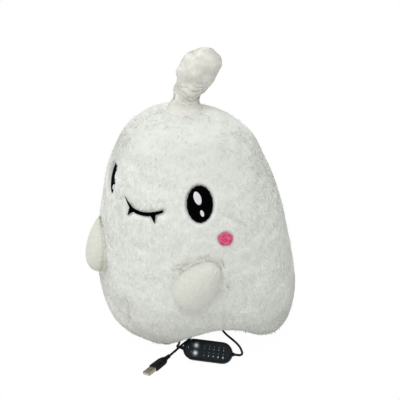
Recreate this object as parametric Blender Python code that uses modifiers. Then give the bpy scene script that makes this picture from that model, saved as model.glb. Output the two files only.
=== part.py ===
# Plush heating pad: a stuffed fur doll with a topknot and two stub arms, a heating film sewn into
# its filling, a zip in its hollow base, and a USB lead with an inline two-button controller.
# It faces -Y, stands on the lobes of its hem at z = 0, and +X is the doll's left. Lengths in metres.

import math

import bpy
import bmesh
import numpy as np
from mathutils import Matrix, Vector

# Clearances
SEAM_GAP = 0.0003        # between sewn or butted pieces
CUT_MARGIN = 0.002       # how far a cutter runs past what it cuts
FILL_GAP = 0.0015        # between a fur shell and its filling

# Fur body
BODY_HEIGHT = 0.326
BODY_WIDTH = 0.314
BODY_DEPTH = 0.281
BODY_FORWARD_LEAN = 0.029        # the crown stands this far in front of the hem
SET_BACK = 0.0069                # centres the doll's box, arms included, on the origin
DOME_ROUNDNESS = 1.72
DOME_FULLNESS = 2.9
HEM_RISE = 0.042                 # height of the rounded lower edge
HEM_INSET = BODY_WIDTH * 51 / 314    # how far the lower edge rolls under
HEM_SQUARENESS = 2.4
HEM_LIP = 0.0015                 # turned in, where the base is sewn
DART_LIFT = 0.028                # the four darts draw the hem up and in between its lobes
DART_LIFT_FADE = 0.066
DART_DRAW = BODY_WIDTH * 39 / 314
DART_DRAW_FADE = 0.020
DART_WIDTH_POWER = 3
HEM_FLAT = 0.0005                # depth of the flat on which each lobe stands
FUR_THICKNESS = 0.006
BODY_STEPS = 40
HEM_RINGS = 6
DOME_RINGS = 12

# Hollow base
BASE_LIFT = 0.026                # underside of the flat middle of the base
BASE_FLAT_SHARE = 0.74           # of the way from the centre to the rim
BASE_THICKNESS = 0.003
BASE_RIM_RISE = 0.0015

# Zip in the base
ZIP_Y = 0.006
ZIP_START_X = -0.058
ZIP_LENGTH = 0.100
TOOTH_PITCH = 0.0028
TOOTH_WIDTH = 0.0011
TOOTH_LENGTH = 0.0021
TOOTH_THICKNESS = 0.0024
SPINE_WIDTH = 0.0014
ZIP_STOP_LENGTH = 0.0025
TAPE_WIDTH = 0.010
TAPE_THICKNESS = 0.0006
SLIDER_LENGTH = 0.012
SLIDER_WIDTH = 0.009
SLIDER_THICKNESS = 0.006
SLIDER_CLEARANCE = 0.0004
SLIDER_PARK = 0.0030             # from the start of the zip to the slider's end
WEDGE_WIDTH = 0.0015
WEDGE_LENGTH = 0.0030
CROWN_WIDTH = 0.0020
CROWN_THICKNESS = 0.0009
CROWN_BORE = 0.0030
PULL_LENGTH = 0.0150
PULL_WIDTH = 0.0058
PULL_THICKNESS = 0.0010
PULL_WINDOW_WIDTH = 0.0030
PULL_WINDOW_LENGTH = 0.0030

# Filling and heater
FILL_FLOOR = 0.050
HEATER_Y = -0.045
HEATER_SLOT = 0.0085
POUCH_WIDTH = 0.150
POUCH_HEIGHT = 0.165
POUCH_THICKNESS = 0.0075
POUCH_WALL = 0.0015
POUCH_BOTTOM = 0.052
FILM_SIDE_MARGIN = 0.0035        # from the film to the inside of the pouch
FILM_FOOT_MARGIN = 0.012
FILM_HEAD_MARGIN = 0.005
FILM_WIDTH = POUCH_WIDTH - 2 * (POUCH_WALL + FILM_SIDE_MARGIN)
FILM_BOTTOM = POUCH_BOTTOM + FILM_FOOT_MARGIN
FILM_HEIGHT = POUCH_HEIGHT - FILM_FOOT_MARGIN - FILM_HEAD_MARGIN
FILM_THICKNESS = 0.0008
WIRE_DIAMETER = 0.0014
WIRE_RUNS = 9
WIRE_MARGIN = 0.016              # from the film's sides to the outer runs
WIRE_RUN_PITCH = (FILM_WIDTH - 2 * WIRE_MARGIN) / (WIRE_RUNS - 1)
WIRE_BOTTOM = FILM_BOTTOM + 0.022
WIRE_TOP = FILM_BOTTOM + FILM_HEIGHT - 0.010
CUTOUT_SIZE = (0.014, 0.0022, 0.005)
CUTOUT_X = 0.022
CUTOUT_Z = 0.074

# Topknot
TOPKNOT_PROFILE = [(-0.016, 0.0250), (-0.006, 0.0200), (0.001, 0.0172), (0.008, 0.0184), (0.016, 0.0212),
                   (0.028, 0.0242), (0.040, 0.0262), (0.052, 0.0285), (0.060, 0.0278), (0.067, 0.0228),
                   (0.074, 0.0130), (0.0785, 0.0)]   # height over the crown, radius
TOPKNOT_X = 0.002
TOPKNOT_LEAN = (0.34, 0.18)      # sideways and backwards, per unit of height
TOPKNOT_LUMP = 0.07
TOPKNOT_STEPS = 18

# Arms
ARM_TURN = 34                    # degrees round from the front
ARM_HEIGHT = 0.131
ARM_SLANT = 49                   # degrees, root above tip
ARM_LENGTH = 0.074
ARM_WIDTH = 0.050
ARM_DEPTH = 0.042
ARM_STAND_OFF = 0.005
ARM_TAPER = 0.20
ARM_SKIN = 0.0030
ARM_HINGE_INSET = 0.0035         # from the root's end to the sewn line
ARM_HINGE_DROP = 0.0032          # the fur curves away this far between the arm's middle and the sewn line

# Embroidered face: turn in degrees, height, half width, half height, tilt in degrees
THREAD_PILE = 0.0012
EYE = (38.8, 0.2348, 0.0168, 0.0240, 10)
LARGE_GLINT = (-0.0024, 0.0083, 0.0049, 0.0088, -12)     # offset from the eye's centre, half sizes, tilt
SMALL_GLINT = (0.0017, -0.0116, 0.0025, 0.0045, -12)
CHEEK = (51.8, 0.1898, 0.0106, 0.0088, 0)
MOUTH_X = 0.0012
MOUTH_HALF_WIDTH = 0.0312
MOUTH_CORNER_HEIGHT = 0.2262
MOUTH_LOW_HEIGHT = 0.2122
MOUTH_SQUARENESS = 2.6
MOUTH_THREAD = 0.0034
MOUTH_TICK_X = 0.0165
MOUTH_TICK_RUN = 0.0050
MOUTH_TICK_DROP = 0.0092

# Cord
CORD_DIAMETER = 0.0032
CORD_FLOOR_GAP = 0.0001
CORD_POINT_SPACING = 0.0096
GLAND = (0.062, 0.024)
GLAND_HOLE_RADIUS = 0.0045
GLAND_FLANGE_RADIUS = 0.0070
GLAND_FLANGE_THICKNESS = 0.0012
GLAND_NOSE_LENGTH = 0.0090
GLAND_NOSE_RADIUS = 0.0024

# Controller, in its own frame: X along it, Y across it, Z out of its face
CONTROLLER_CENTRE = (0.0876, -0.1044, 0.0138)
CONTROLLER_HEADING = 22.5        # degrees from +X
CONTROLLER_TILT = 42             # degrees back from lying flat
CASE_LENGTH = 0.068
CASE_WIDTH = 0.028
CASE_THICKNESS = 0.012
CASE_WALL = 0.0016
CASE_EDGE_RADIUS = 0.0022
CASE_PARTING = 0.0005            # height of the parting line over the middle
PARTING_GAP = 0.0003
LEDGE_DEPTH = 0.0037             # from the back to the ledge that carries the circuit board
LEDGE_WIDTH = 0.0032
OVERLAY_MARGIN = 0.0026
OVERLAY_RECESS = 0.0008
OVERLAY_THICKNESS = 0.0005
BUTTON_X = -0.0160
BUTTON_SPACING = 0.0102
BUTTON_RADIUS = 0.0042
BUTTON_CLEARANCE = 0.0003
BUTTON_PROUD = 0.0013
BUTTON_FLANGE = 0.0007
BUTTON_FLANGE_LIP = 0.0006
BUTTON_TRAVEL = 0.0005
BOARD_LENGTH = 0.045
BOARD_WIDTH = 0.0205
BOARD_THICKNESS = 0.0010
SWITCH_SIDE = 0.006
SWITCH_HEIGHT = 0.0018
PLUNGER_RADIUS = 0.0016
LIGHT_COUNT = 5
LIGHT_PITCH = 0.0065
LIGHT_FIRST_X = -0.0052
LIGHT_ROW_Y = 0.0044
LIGHT_WINDOW = (0.0016, 0.0032)
GUIDE_BAR = (0.0045, 0.0014)     # width and thickness of the bar that joins a row of light posts
SCREW_X = 0.0256
SCREW_HEAD_RADIUS = 0.0019
SCREW_HEAD_HEIGHT = 0.0014
SCREW_SHANK_RADIUS = 0.0008
SCREW_BOSS_RADIUS = 0.0026
SCREW_CLEARANCE = 0.0003
RELIEF_NECK_RADIUS = 0.0019
RELIEF_FLANGE_RADIUS = 0.0026
RELIEF_FLANGE_THICKNESS = 0.0009
RELIEF_FLANGE_SETBACK = 0.0008   # from the inside of the rounded end wall
RELIEF_NOSE_LENGTH = 0.0033
RELIEF_NOSE_RADIUS = 0.0020

# USB plug, in its own frame: X towards its tip, Z up
PLUG_CORD_POINT = (0.0433, -0.1326)
PLUG_HEADING = -95.7             # degrees from +X
PLUG_ROLL = 18                   # degrees, as its cord holds it
PLUG_RELIEF_LENGTH = 0.010
PLUG_RELIEF_RADII = (0.0022, 0.0032)
PLUG_BOOT_LENGTH = 0.0235
PLUG_BOOT_WIDTH = 0.0146
PLUG_BOOT_THICKNESS = 0.0080
PLUG_BOOT_BACK_SHARE = 0.62      # width at the cord end over width at the shell end
PLUG_BOOT_ROUNDING = 0.0022
PLUG_SHELL_WIDTH = 0.0120
PLUG_SHELL_THICKNESS = 0.0045
PLUG_SHELL_LENGTH = 0.0135
PLUG_SHELL_WALL = 0.0003
PLUG_WINDOW = 0.0020
PLUG_TONGUE_THICKNESS = 0.0018
PLUG_CONTACT_WIDTH = 0.0010
PLUG_CONTACT_THICKNESS = 0.0003
PLUG_CONTACT_PITCH = 0.0024

# Coil of spare lead
COIL_CENTRE = (-0.104, 0.140)
COIL_INNER_RADIUS = 0.0121
COIL_TURN_GAP = 0.0006
COIL_TURNS_IN = 3
COIL_TURNS_OUT = 2.75
COIL_POINTS_PER_TURN = 24
TIE_WIDTH = 0.008
TIE_THICKNESS = 0.0006
TIE_GAP = 0.0003

# Routes of the free cord, from the controller to the doll, to the coil, and from the coil to the plug
HEATER_ROUTE = [(0.1280, -0.0872, 0.0138), (0.1286, -0.0834, 0.0128), (0.1270, -0.0790, 0.0114),
                (0.1240, -0.0750, 0.0099), (0.1182, -0.0678, 0.0070), (0.1102, -0.0605, 0.0044),
                (0.1011, -0.0547, 0.0026), (0.0901, -0.0500, 0.0018), (0.0802, -0.0460, 0.0017),
                (0.0710, -0.0400, 0.0017), (0.0645, -0.0290, 0.0017), (0.0615, -0.0140, 0.0017),
                (0.0608, 0.0010, 0.0017), (0.0612, 0.0110, 0.0023), (0.0617, 0.0175, 0.0046), (0.0620, 0.0218, 0.0088)]
COIL_ROUTE = [(0.0466, -0.1190, 0.0134), (0.0438, -0.1130, 0.0108), (0.0408, -0.1068, 0.0076),
              (0.0372, -0.1008, 0.0048), (0.0332, -0.0948, 0.0028), (0.0290, -0.0860, 0.0018),
              (0.0232, -0.0720, 0.0017), (0.0168, -0.0560, 0.0017), (0.0080, -0.0365, 0.0017),
              (-0.0035, -0.0160, 0.0017), (-0.0150, 0.0030, 0.0017),
              (-0.0280, 0.0250, 0.0017), (-0.0430, 0.0470, 0.0017), (-0.0570, 0.0700, 0.0017),
              (-0.0690, 0.0920, 0.0018), (-0.0765, 0.1120, 0.0022), (-0.0802, 0.1270, 0.0025)]
PLUG_ROUTE = [(-0.0960, 0.1176, 0.0064), (-0.0860, 0.1174, 0.0067), (-0.0760, 0.1160, 0.0064),
              (-0.0660, 0.1120, 0.0046), (-0.0580, 0.1040, 0.0027), (-0.0520, 0.0920, 0.0018),
              (-0.0450, 0.0760, 0.0017), (-0.0360, 0.0590, 0.0017), (-0.0220, 0.0360, 0.0017),
              (-0.0060, 0.0130, 0.0017), (0.0100, -0.0090, 0.0017), (0.0240, -0.0320, 0.0017),
              (0.0345, -0.0540, 0.0017), (0.0410, -0.0720, 0.0017), (0.0430, -0.0850, 0.0017),
              (0.0424, -0.0970, 0.0017), (0.0415, -0.1070, 0.0017), (0.0418, -0.1160, 0.0022),
              (0.0427, -0.1235, 0.0040)]


def clear_scene():
    for obj in list(bpy.data.objects):
        bpy.data.objects.remove(obj, do_unlink=True)


def collection(name, hidden):
    made = bpy.data.collections.new(name)
    bpy.context.scene.collection.children.link(made)
    made.hide_render = hidden
    return made


clear_scene()
PARTS = collection("plush_heating_pad", False)
CUTTERS = collection("cutters", True)

# Colour, roughness, metallic
FINISHES = {
    "white_fur": ((0.78, 0.79, 0.76), 0.95, 0.0),
    "cream_velboa": ((0.80, 0.79, 0.73), 0.9, 0.0),
    "base_cloth": ((0.70, 0.70, 0.67), 0.9, 0.0),
    "filling": ((0.85, 0.85, 0.84), 1.0, 0.0),
    "black_thread": ((0.008, 0.008, 0.009), 0.5, 0.0),
    "white_thread": ((0.85, 0.85, 0.85), 0.5, 0.0),
    "pink_thread": ((0.72, 0.09, 0.22), 0.55, 0.0),
    "heater_cloth": ((0.55, 0.55, 0.52), 0.9, 0.0),
    "heater_film": ((0.05, 0.05, 0.05), 0.6, 0.0),
    "carbon_wire": ((0.35, 0.04, 0.03), 0.5, 0.0),
    "cutout_case": ((0.75, 0.74, 0.70), 0.4, 0.0),
    "zip_tape": ((0.75, 0.75, 0.73), 0.9, 0.0),
    "zip_resin": ((0.78, 0.78, 0.76), 0.35, 0.0),
    "zip_metal": ((0.62, 0.62, 0.63), 0.3, 1.0),
    "cord_black": ((0.010, 0.010, 0.011), 0.45, 0.0),
    "case_black": ((0.006, 0.007, 0.008), 0.35, 0.0),
    "overlay_film": ((0.010, 0.015, 0.018), 0.25, 0.0),
    "button_silver": ((0.62, 0.66, 0.70), 0.25, 0.6),
    "circuit_board": ((0.02, 0.16, 0.05), 0.5, 0.0),
    "switch_body": ((0.02, 0.02, 0.02), 0.5, 0.0),
    "light_guide": ((0.80, 0.83, 0.86), 0.2, 0.0),
    "screw_steel": ((0.45, 0.45, 0.46), 0.35, 1.0),
    "plug_nickel": ((0.50, 0.46, 0.40), 0.3, 1.0),
    "plug_insulator": ((0.80, 0.80, 0.78), 0.5, 0.0),
    "contact_gold": ((0.80, 0.58, 0.25), 0.3, 1.0),
    "tie_strap": ((0.012, 0.012, 0.013), 0.8, 0.0),
}


def material(name):
    found = bpy.data.materials.get(name)
    if found:
        return found
    colour, roughness, metallic = FINISHES[name]
    made = bpy.data.materials.new(name)
    made.use_nodes = True
    shader = made.node_tree.nodes["Principled BSDF"]
    shader.inputs["Base Color"].default_value = (*colour, 1)
    shader.inputs["Roughness"].default_value = roughness
    shader.inputs["Metallic"].default_value = metallic
    made.diffuse_color = (*colour, 1)
    return made


# General modelling helpers

def place(name, mesh, finish=None, matrix=None, parent=None):
    # With a finish the mesh becomes a part; without one it becomes a hidden cutter.
    obj = bpy.data.objects.new(name, mesh)
    if finish:
        PARTS.objects.link(obj)
        mesh.materials.clear()
        mesh.materials.append(material(finish))
    else:
        CUTTERS.objects.link(obj)
        obj.hide_render = True
        obj.display_type = "WIRE"
    obj.parent = parent
    if matrix is not None:
        obj.matrix_local = matrix
    return obj


def smooth(obj, angle=35):
    obj.data.shade_smooth()
    obj.data.set_sharp_from_angle(angle=math.radians(angle))
    return obj


def box_mesh(low, high):
    mesh = bpy.data.meshes.new("box")
    shape = bmesh.new()
    bmesh.ops.create_cube(shape, size=1)
    size = [b - a for a, b in zip(low, high)]
    centre = [(a + b) / 2 for a, b in zip(low, high)]
    bmesh.ops.transform(shape, matrix=Matrix.Translation(centre) @ Matrix.Diagonal((*size, 1)), verts=shape.verts)
    shape.to_mesh(mesh)
    shape.free()
    return mesh


def rod_mesh(radius, start, end, segments=20, end_radius=None):
    # A cylinder or cone between two points.
    start, end = Vector(start), Vector(end)
    mesh = bpy.data.meshes.new("rod")
    shape = bmesh.new()
    bmesh.ops.create_cone(shape, cap_ends=True, segments=segments, radius1=radius,
                          radius2=radius if end_radius is None else end_radius, depth=(end - start).length)
    turn = (end - start).to_track_quat("Z", "Y").to_matrix().to_4x4()
    bmesh.ops.transform(shape, matrix=Matrix.Translation((start + end) / 2) @ turn, verts=shape.verts)
    shape.to_mesh(mesh)
    shape.free()
    return mesh


def evaluated_mesh(obj):
    # The mesh that an object's modifiers or curve settings make, welded, with the object removed.
    bpy.context.view_layer.update()
    mesh = bpy.data.meshes.new_from_object(obj.evaluated_get(bpy.context.evaluated_depsgraph_get()))
    shape = bmesh.new()
    shape.from_mesh(mesh)
    bmesh.ops.remove_doubles(shape, verts=shape.verts, dist=1e-7)
    shape.to_mesh(mesh)
    shape.free()
    bpy.data.objects.remove(obj, do_unlink=True)
    return mesh


def turned_mesh(profile, steps):
    # A profile of (radius, height) points, top to bottom, turned round Z.
    mesh = bpy.data.meshes.new("profile")
    mesh.from_pydata([(radius, 0, height) for radius, height in profile],
                     [(i, i + 1) for i in range(len(profile) - 1)], [])
    obj = bpy.data.objects.new("profile", mesh)
    bpy.context.scene.collection.objects.link(obj)
    screw = obj.modifiers.new("turn", "SCREW")
    screw.steps = screw.render_steps = steps
    screw.use_merge_vertices = True
    screw.merge_threshold = 1e-5
    return evaluated_mesh(obj)


def plate_mesh(outlines, low, high):
    # Flat closed outlines, holes included, given thickness from low to high along Z.
    curve = bpy.data.curves.new("plate", "CURVE")
    curve.dimensions = "2D"
    curve.fill_mode = "BOTH"
    curve.extrude = (high - low) / 2
    for outline in outlines:
        spline = curve.splines.new("POLY")
        spline.points.add(len(outline) - 1)
        for point, (x, y) in zip(spline.points, outline):
            point.co = (x, y, 0, 1)
        spline.use_cyclic_u = True
    obj = bpy.data.objects.new("plate", curve)
    bpy.context.scene.collection.objects.link(obj)
    mesh = evaluated_mesh(obj)
    mesh.transform(Matrix.Translation((0, 0, (low + high) / 2)))
    return mesh


def tube(name, points, diameter, finish, resolution=2):
    curve = bpy.data.curves.new(name, "CURVE")
    curve.dimensions = "3D"
    curve.bevel_depth = diameter / 2
    curve.bevel_resolution = resolution
    curve.use_fill_caps = True
    spline = curve.splines.new("POLY")
    spline.points.add(len(points) - 1)
    for point, place_at in zip(spline.points, points):
        point.co = (*place_at, 1)
    obj = bpy.data.objects.new(name, curve)
    curve.materials.append(material(finish))
    PARTS.objects.link(obj)
    return obj


def reshape(mesh, rule):
    # Moves every vertex to where the rule puts it.
    points = np.empty(len(mesh.vertices) * 3)
    mesh.vertices.foreach_get("co", points)
    x, y, z = points.reshape(-1, 3).T
    mesh.vertices.foreach_set("co", np.stack(rule(x, y, z), axis=-1).ravel())
    mesh.update()
    return mesh


def boolean(obj, operation, *others):
    for other in others:
        modifier = obj.modifiers.new(operation.lower(), "BOOLEAN")
        modifier.operation = operation
        modifier.object = other
    return obj


def cut(obj, *cutters):
    return boolean(obj, "DIFFERENCE", *cutters)


def join(obj, *others):
    return boolean(obj, "UNION", *others)


def swell(obj, distance):
    modifier = obj.modifiers.new("swell", "DISPLACE")
    modifier.strength = distance
    modifier.mid_level = 0
    return obj


def wall(obj, thickness):
    modifier = obj.modifiers.new("wall", "SOLIDIFY")
    modifier.thickness = thickness
    modifier.offset = -1
    return obj


def bevel(obj, width, segments=2):
    modifier = obj.modifiers.new("rounding", "BEVEL")
    modifier.width = width
    modifier.segments = segments
    modifier.limit_method = "ANGLE"
    modifier.angle_limit = math.radians(50)
    return obj


def stadium(length, width, arc_points=10):
    # A pill outline: two half circles joined by straight sides.
    radius = width / 2
    reach = length / 2 - radius
    outline = []
    for side in (1, -1):
        for k in range(arc_points + 1):
            angle = math.pi * (k / arc_points - 0.5)
            outline.append((side * (reach + radius * math.cos(angle)), side * radius * math.sin(angle)))
    return outline


def smooth_route(points, spacing):
    # Points about one spacing apart on a Catmull-Rom curve through the chosen ones.
    chosen = np.array(points)
    padded = np.vstack([2 * chosen[0] - chosen[1], chosen, 2 * chosen[-1] - chosen[-2]])
    fine = []
    for a, b, c, d in zip(padded[:-3], padded[1:-2], padded[2:-1], padded[3:]):
        t = np.linspace(0, 1, 20, endpoint=False)[:, None]
        fine.append(b + 0.5 * t * (c - a + t * (2 * a - 5 * b + 4 * c - d + t * (3 * (b - c) + d - a))))
    fine = np.vstack([*fine, chosen[-1:]])
    along = np.concatenate([[0], np.cumsum(np.linalg.norm(np.diff(fine, axis=0), axis=1))])
    stops = np.linspace(0, along[-1], round(along[-1] / spacing) + 1)
    return np.stack([np.interp(stops, along, fine[:, k]) for k in range(3)], axis=-1)


def length_of(points):
    return float(np.linalg.norm(np.diff(np.array(points), axis=0), axis=1).sum())


# The fur body's surface

def half_width(height):
    # Half the body's width at a height: a full dome whose lower edge rolls under.
    dome = BODY_WIDTH / 2 * np.clip(1 - np.clip(height / BODY_HEIGHT, 0, 1) ** DOME_ROUNDNESS, 0, 1) ** (
        1 / DOME_FULLNESS)
    below = np.clip((HEM_RISE - height) / HEM_RISE, 0, 1)
    return dome - HEM_INSET * (1 - (1 - below ** HEM_SQUARENESS) ** (1 / HEM_SQUARENESS))


def fur_surface(turn, height):
    # The point at an angle from the front and a height: four darts draw the hem up and in between lobes.
    dart = np.abs(np.sin(2 * turn)) ** DART_WIDTH_POWER
    reach = half_width(height) - DART_DRAW * dart * np.exp(-(height / DART_DRAW_FADE) ** 2)
    x = reach * np.sin(turn)
    y = -reach * np.cos(turn) * BODY_DEPTH / BODY_WIDTH - BODY_FORWARD_LEAN * height / BODY_HEIGHT
    z = height + DART_LIFT * dart * np.exp(-(height / DART_LIFT_FADE) ** 2) - HEM_FLAT
    return x, y, z


def fur_frame(turn, height, slant=0):
    # Origin on the fur; X along the slant (degrees up from sideways), Y across it, Z out of the fur.
    step = 1e-4
    at = Vector(fur_surface(turn, height))
    sideways = (Vector(fur_surface(turn + step, height)) - at).normalized()
    upwards = (Vector(fur_surface(turn, height + step)) - at).normalized()
    out = sideways.cross(upwards).normalized()
    upwards = out.cross(sideways)
    angle = math.radians(slant)
    along = sideways * math.cos(angle) + upwards * math.sin(angle)
    matrix = Matrix((along, out.cross(along), out)).transposed().to_4x4()
    matrix.translation = at
    return matrix


def body_heights():
    hem = [HEM_RISE * (k / HEM_RINGS) ** 2 for k in range(HEM_RINGS)]
    dome = [HEM_RISE + (BODY_HEIGHT - HEM_RISE) * math.sin(math.pi / 2 * k / DOME_RINGS)
            for k in range(DOME_RINGS + 1)]
    return hem + dome


def body_mesh(closed, steps=BODY_STEPS, every=1, lip=HEM_LIP):
    # The fur surface, either open at the hem, with a narrow lip turned in there, or closed underneath.
    heights = body_heights()[::-1][::every]
    profile = [(float(half_width(np.array(height))), height) for height in heights]
    profile[0] = (0.0, profile[0][1])
    profile.append((0.0 if closed else profile[-1][0] - lip, 0.0))

    def onto_fur(x, y, z):
        share = np.hypot(x, y) / np.maximum(half_width(z), 1e-6)
        fur_x, fur_y, fur_z = fur_surface(np.arctan2(x, -y), z)
        lean = -BODY_FORWARD_LEAN * z / BODY_HEIGHT
        return fur_x * share, (fur_y - lean) * share + lean, fur_z

    return reshape(turned_mesh(profile, steps), onto_fur)


def half_space(name, front):
    # All that lies behind, or in front of, the side seams, which lean with the body.
    reach = 2 * BODY_HEIGHT
    low = (-reach, -reach, -reach) if front else (-reach, -SEAM_GAP / 2, -reach)
    high = (reach, SEAM_GAP / 2, reach) if front else (reach, reach, reach)
    mesh = box_mesh(low, high)
    lean = BODY_FORWARD_LEAN / BODY_HEIGHT
    return place(name, reshape(mesh, lambda x, y, z: (x, y - lean * z, z)))


def make_body():
    floor = place("floor_cutter", box_mesh((-1, -1, -0.1), (1, 1, 0)))
    behind, before = half_space("behind_seam", False), half_space("before_seam", True)
    for name, cutter in (("front_panel", behind), ("back_panel", before)):
        panel = place(name, body_mesh(closed=False), "white_fur")
        smooth(cut(wall(panel, FUR_THICKNESS), cutter, floor), 60)
    outline = place("body_outline", body_mesh(closed=True))
    swell(outline, SEAM_GAP)
    return outline


def base_surface(turn, share):
    # The base cloth: flat in the middle, turned down to the hem's rim outside the flat.
    rim_x, rim_y, rim_z = fur_surface(turn, np.zeros_like(turn))
    inset = 1 - (HEM_LIP + 2 * SEAM_GAP) / (BODY_WIDTH / 2 - HEM_INSET)
    fall = np.clip((share - BASE_FLAT_SHARE) / (1 - BASE_FLAT_SHARE), 0, 1)
    fall = fall * fall * (3 - 2 * fall)
    z = BASE_LIFT + (rim_z + BASE_RIM_RISE - BASE_LIFT) * fall
    return rim_x * share * inset, rim_y * share * inset, z


def make_base():
    shares = [0.0, 0.4, BASE_FLAT_SHARE, 0.81, 0.88, 0.94, 1.0]
    mesh = turned_mesh([(share, 0) for share in shares], BODY_STEPS)
    reshape(mesh, lambda x, y, z: base_surface(np.arctan2(x, -y), np.hypot(x, y)))
    mesh.flip_normals()
    panel = place("base_panel", mesh, "base_cloth")
    wall(panel, BASE_THICKNESS)
    slot_half = SLIDER_WIDTH / 2 + 2 * SLIDER_CLEARANCE
    slot = place("zip_slot", box_mesh((ZIP_START_X - CUT_MARGIN, ZIP_Y - slot_half, 0),
                                      (ZIP_START_X + ZIP_LENGTH + CUT_MARGIN, ZIP_Y + slot_half, FILL_FLOOR)))
    hole = place("gland_hole", rod_mesh(GLAND_HOLE_RADIUS, (*GLAND, 0), (*GLAND, FILL_FLOOR)))
    room = place("hem_room", body_mesh(closed=False, lip=HEM_LIP + 2 * SEAM_GAP))
    wall(swell(room, 2 * SEAM_GAP), FUR_THICKNESS + 4 * SEAM_GAP)
    smooth(cut(panel, slot, hole, room))


# Zip

ZIP_Z = BASE_LIFT + BASE_THICKNESS + SEAM_GAP + TAPE_THICKNESS / 2     # middle of the tape
CHAIN_HALF = SEAM_GAP + TOOTH_LENGTH / 2 + SPINE_WIDTH - SEAM_GAP / 2  # from the centre line to a spine's back


def comb_outline(side):
    # One row of the chain: a spine with teeth that reach past the centre line between the other row's.
    inner = CHAIN_HALF - SPINE_WIDTH
    tip = inner - TOOTH_LENGTH
    start, end = ZIP_START_X, ZIP_START_X + ZIP_LENGTH
    first = start + SLIDER_PARK + WEDGE_LENGTH + 3 * TOOTH_WIDTH
    last = end - ZIP_STOP_LENGTH - TOOTH_PITCH
    outline = [(start, CHAIN_HALF), (start, SEAM_GAP / 2), (start + ZIP_STOP_LENGTH, SEAM_GAP / 2),
               (start + ZIP_STOP_LENGTH, inner)]
    count = int((last - first) / TOOTH_PITCH)
    for k in range(count):
        x = first + k * TOOTH_PITCH + (TOOTH_PITCH / 2 if side < 0 else 0)
        outline += [(x, inner), (x, tip), (x + TOOTH_WIDTH, tip), (x + TOOTH_WIDTH, inner)]
    outline += [(end - ZIP_STOP_LENGTH, inner), (end - ZIP_STOP_LENGTH, SEAM_GAP / 2), (end, SEAM_GAP / 2),
                (end, CHAIN_HALF)]
    return [(x, side * y + ZIP_Y) for x, y in outline]


def make_zip():
    for name, side in (("front", -1), ("rear", 1)):
        teeth = plate_mesh([comb_outline(side)], ZIP_Z - TOOTH_THICKNESS / 2, ZIP_Z + TOOTH_THICKNESS / 2)
        place(f"zip_teeth_{name}", teeth, "zip_resin")
        near, far = sorted((ZIP_Y + side * (CHAIN_HALF + SEAM_GAP), ZIP_Y + side * (CHAIN_HALF + TAPE_WIDTH)))
        tape = box_mesh((ZIP_START_X, near, ZIP_Z - TAPE_THICKNESS / 2),
                        (ZIP_START_X + ZIP_LENGTH, far, ZIP_Z + TAPE_THICKNESS / 2))
        place(f"zip_tape_{name}", tape, "zip_tape")
    make_slider()


def make_slider():
    centre = Vector((ZIP_START_X + SLIDER_PARK + SLIDER_LENGTH / 2, ZIP_Y, ZIP_Z))
    half = Vector((SLIDER_LENGTH, SLIDER_WIDTH, SLIDER_THICKNESS)) / 2
    at = Matrix.Translation(centre)
    slider = place("zip_slider", box_mesh(-half, half), "zip_metal", at)
    bevel(slider, 0.0008)
    long = half.x + CUT_MARGIN
    room = CHAIN_HALF + SLIDER_CLEARANCE
    deep = TOOTH_THICKNESS / 2 + SLIDER_CLEARANCE
    channel = place("slider_channel", box_mesh((-long, -room, -deep), (long, room, deep)), matrix=at)
    side_slot = TAPE_THICKNESS / 2 + SLIDER_CLEARANCE
    slots = place("slider_side_slots", box_mesh((-long, -2 * half.y, -side_slot), (long, 2 * half.y, side_slot)),
                  matrix=at)
    start = -half.x + SEAM_GAP
    wedge = place("slider_wedge", box_mesh((start, -WEDGE_WIDTH / 2, -half.z + 0.0003),
                                           (start + WEDGE_LENGTH, WEDGE_WIDTH / 2, half.z - 0.0003)), matrix=at)
    pin_z = -half.z - CROWN_BORE / 2 + PULL_THICKNESS / 2
    crown = place("slider_crown", crown_mesh(pin_z, -half.z), matrix=at)
    join(cut(slider, channel, slots), wedge, crown)
    make_pull(centre + Vector((0, 0, pin_z)))


def crown_mesh(pin_z, plate_z):
    # A U of strip under the slider, bent round the pull's bar.
    inner, outer = CROWN_BORE / 2, CROWN_BORE / 2 + CROWN_THICKNESS
    arcs = [[(radius * math.cos(a), pin_z + radius * math.sin(a))
             for a in np.linspace(math.pi, 2 * math.pi, 11)] for radius in (outer, inner)]
    top = plate_z + 0.0006
    outline = [(-outer, top), *arcs[0], (outer, top), (inner, top), *arcs[1][::-1], (-inner, top)]
    mesh = plate_mesh([outline], -CROWN_WIDTH / 2, CROWN_WIDTH / 2)
    mesh.transform(Matrix.Rotation(math.pi / 2, 4, "X"))
    return mesh


def make_pull(pin):
    # The pull hangs from its bar, which is the top edge of its window.
    bar = PULL_THICKNESS / 2
    outer = [(-PULL_WIDTH / 2, bar), (PULL_WIDTH / 2, bar), (PULL_WIDTH / 2, -PULL_LENGTH + 0.002),
             (PULL_WIDTH / 2 - 0.0016, -PULL_LENGTH), (-PULL_WIDTH / 2 + 0.0016, -PULL_LENGTH),
             (-PULL_WIDTH / 2, -PULL_LENGTH + 0.002)]
    window = [(-PULL_WINDOW_WIDTH / 2, -bar), (PULL_WINDOW_WIDTH / 2, -bar),
              (PULL_WINDOW_WIDTH / 2, -bar - PULL_WINDOW_LENGTH), (-PULL_WINDOW_WIDTH / 2, -bar - PULL_WINDOW_LENGTH)]
    mesh = plate_mesh([outer, window], -PULL_THICKNESS / 2, PULL_THICKNESS / 2)
    mesh.transform(Matrix.Rotation(math.pi / 2, 4, "Z") @ Matrix.Rotation(math.pi / 2, 4, "X"))
    place("zip_pull", mesh, "zip_metal", Matrix.Translation(pin))


# Filling and heater

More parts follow.
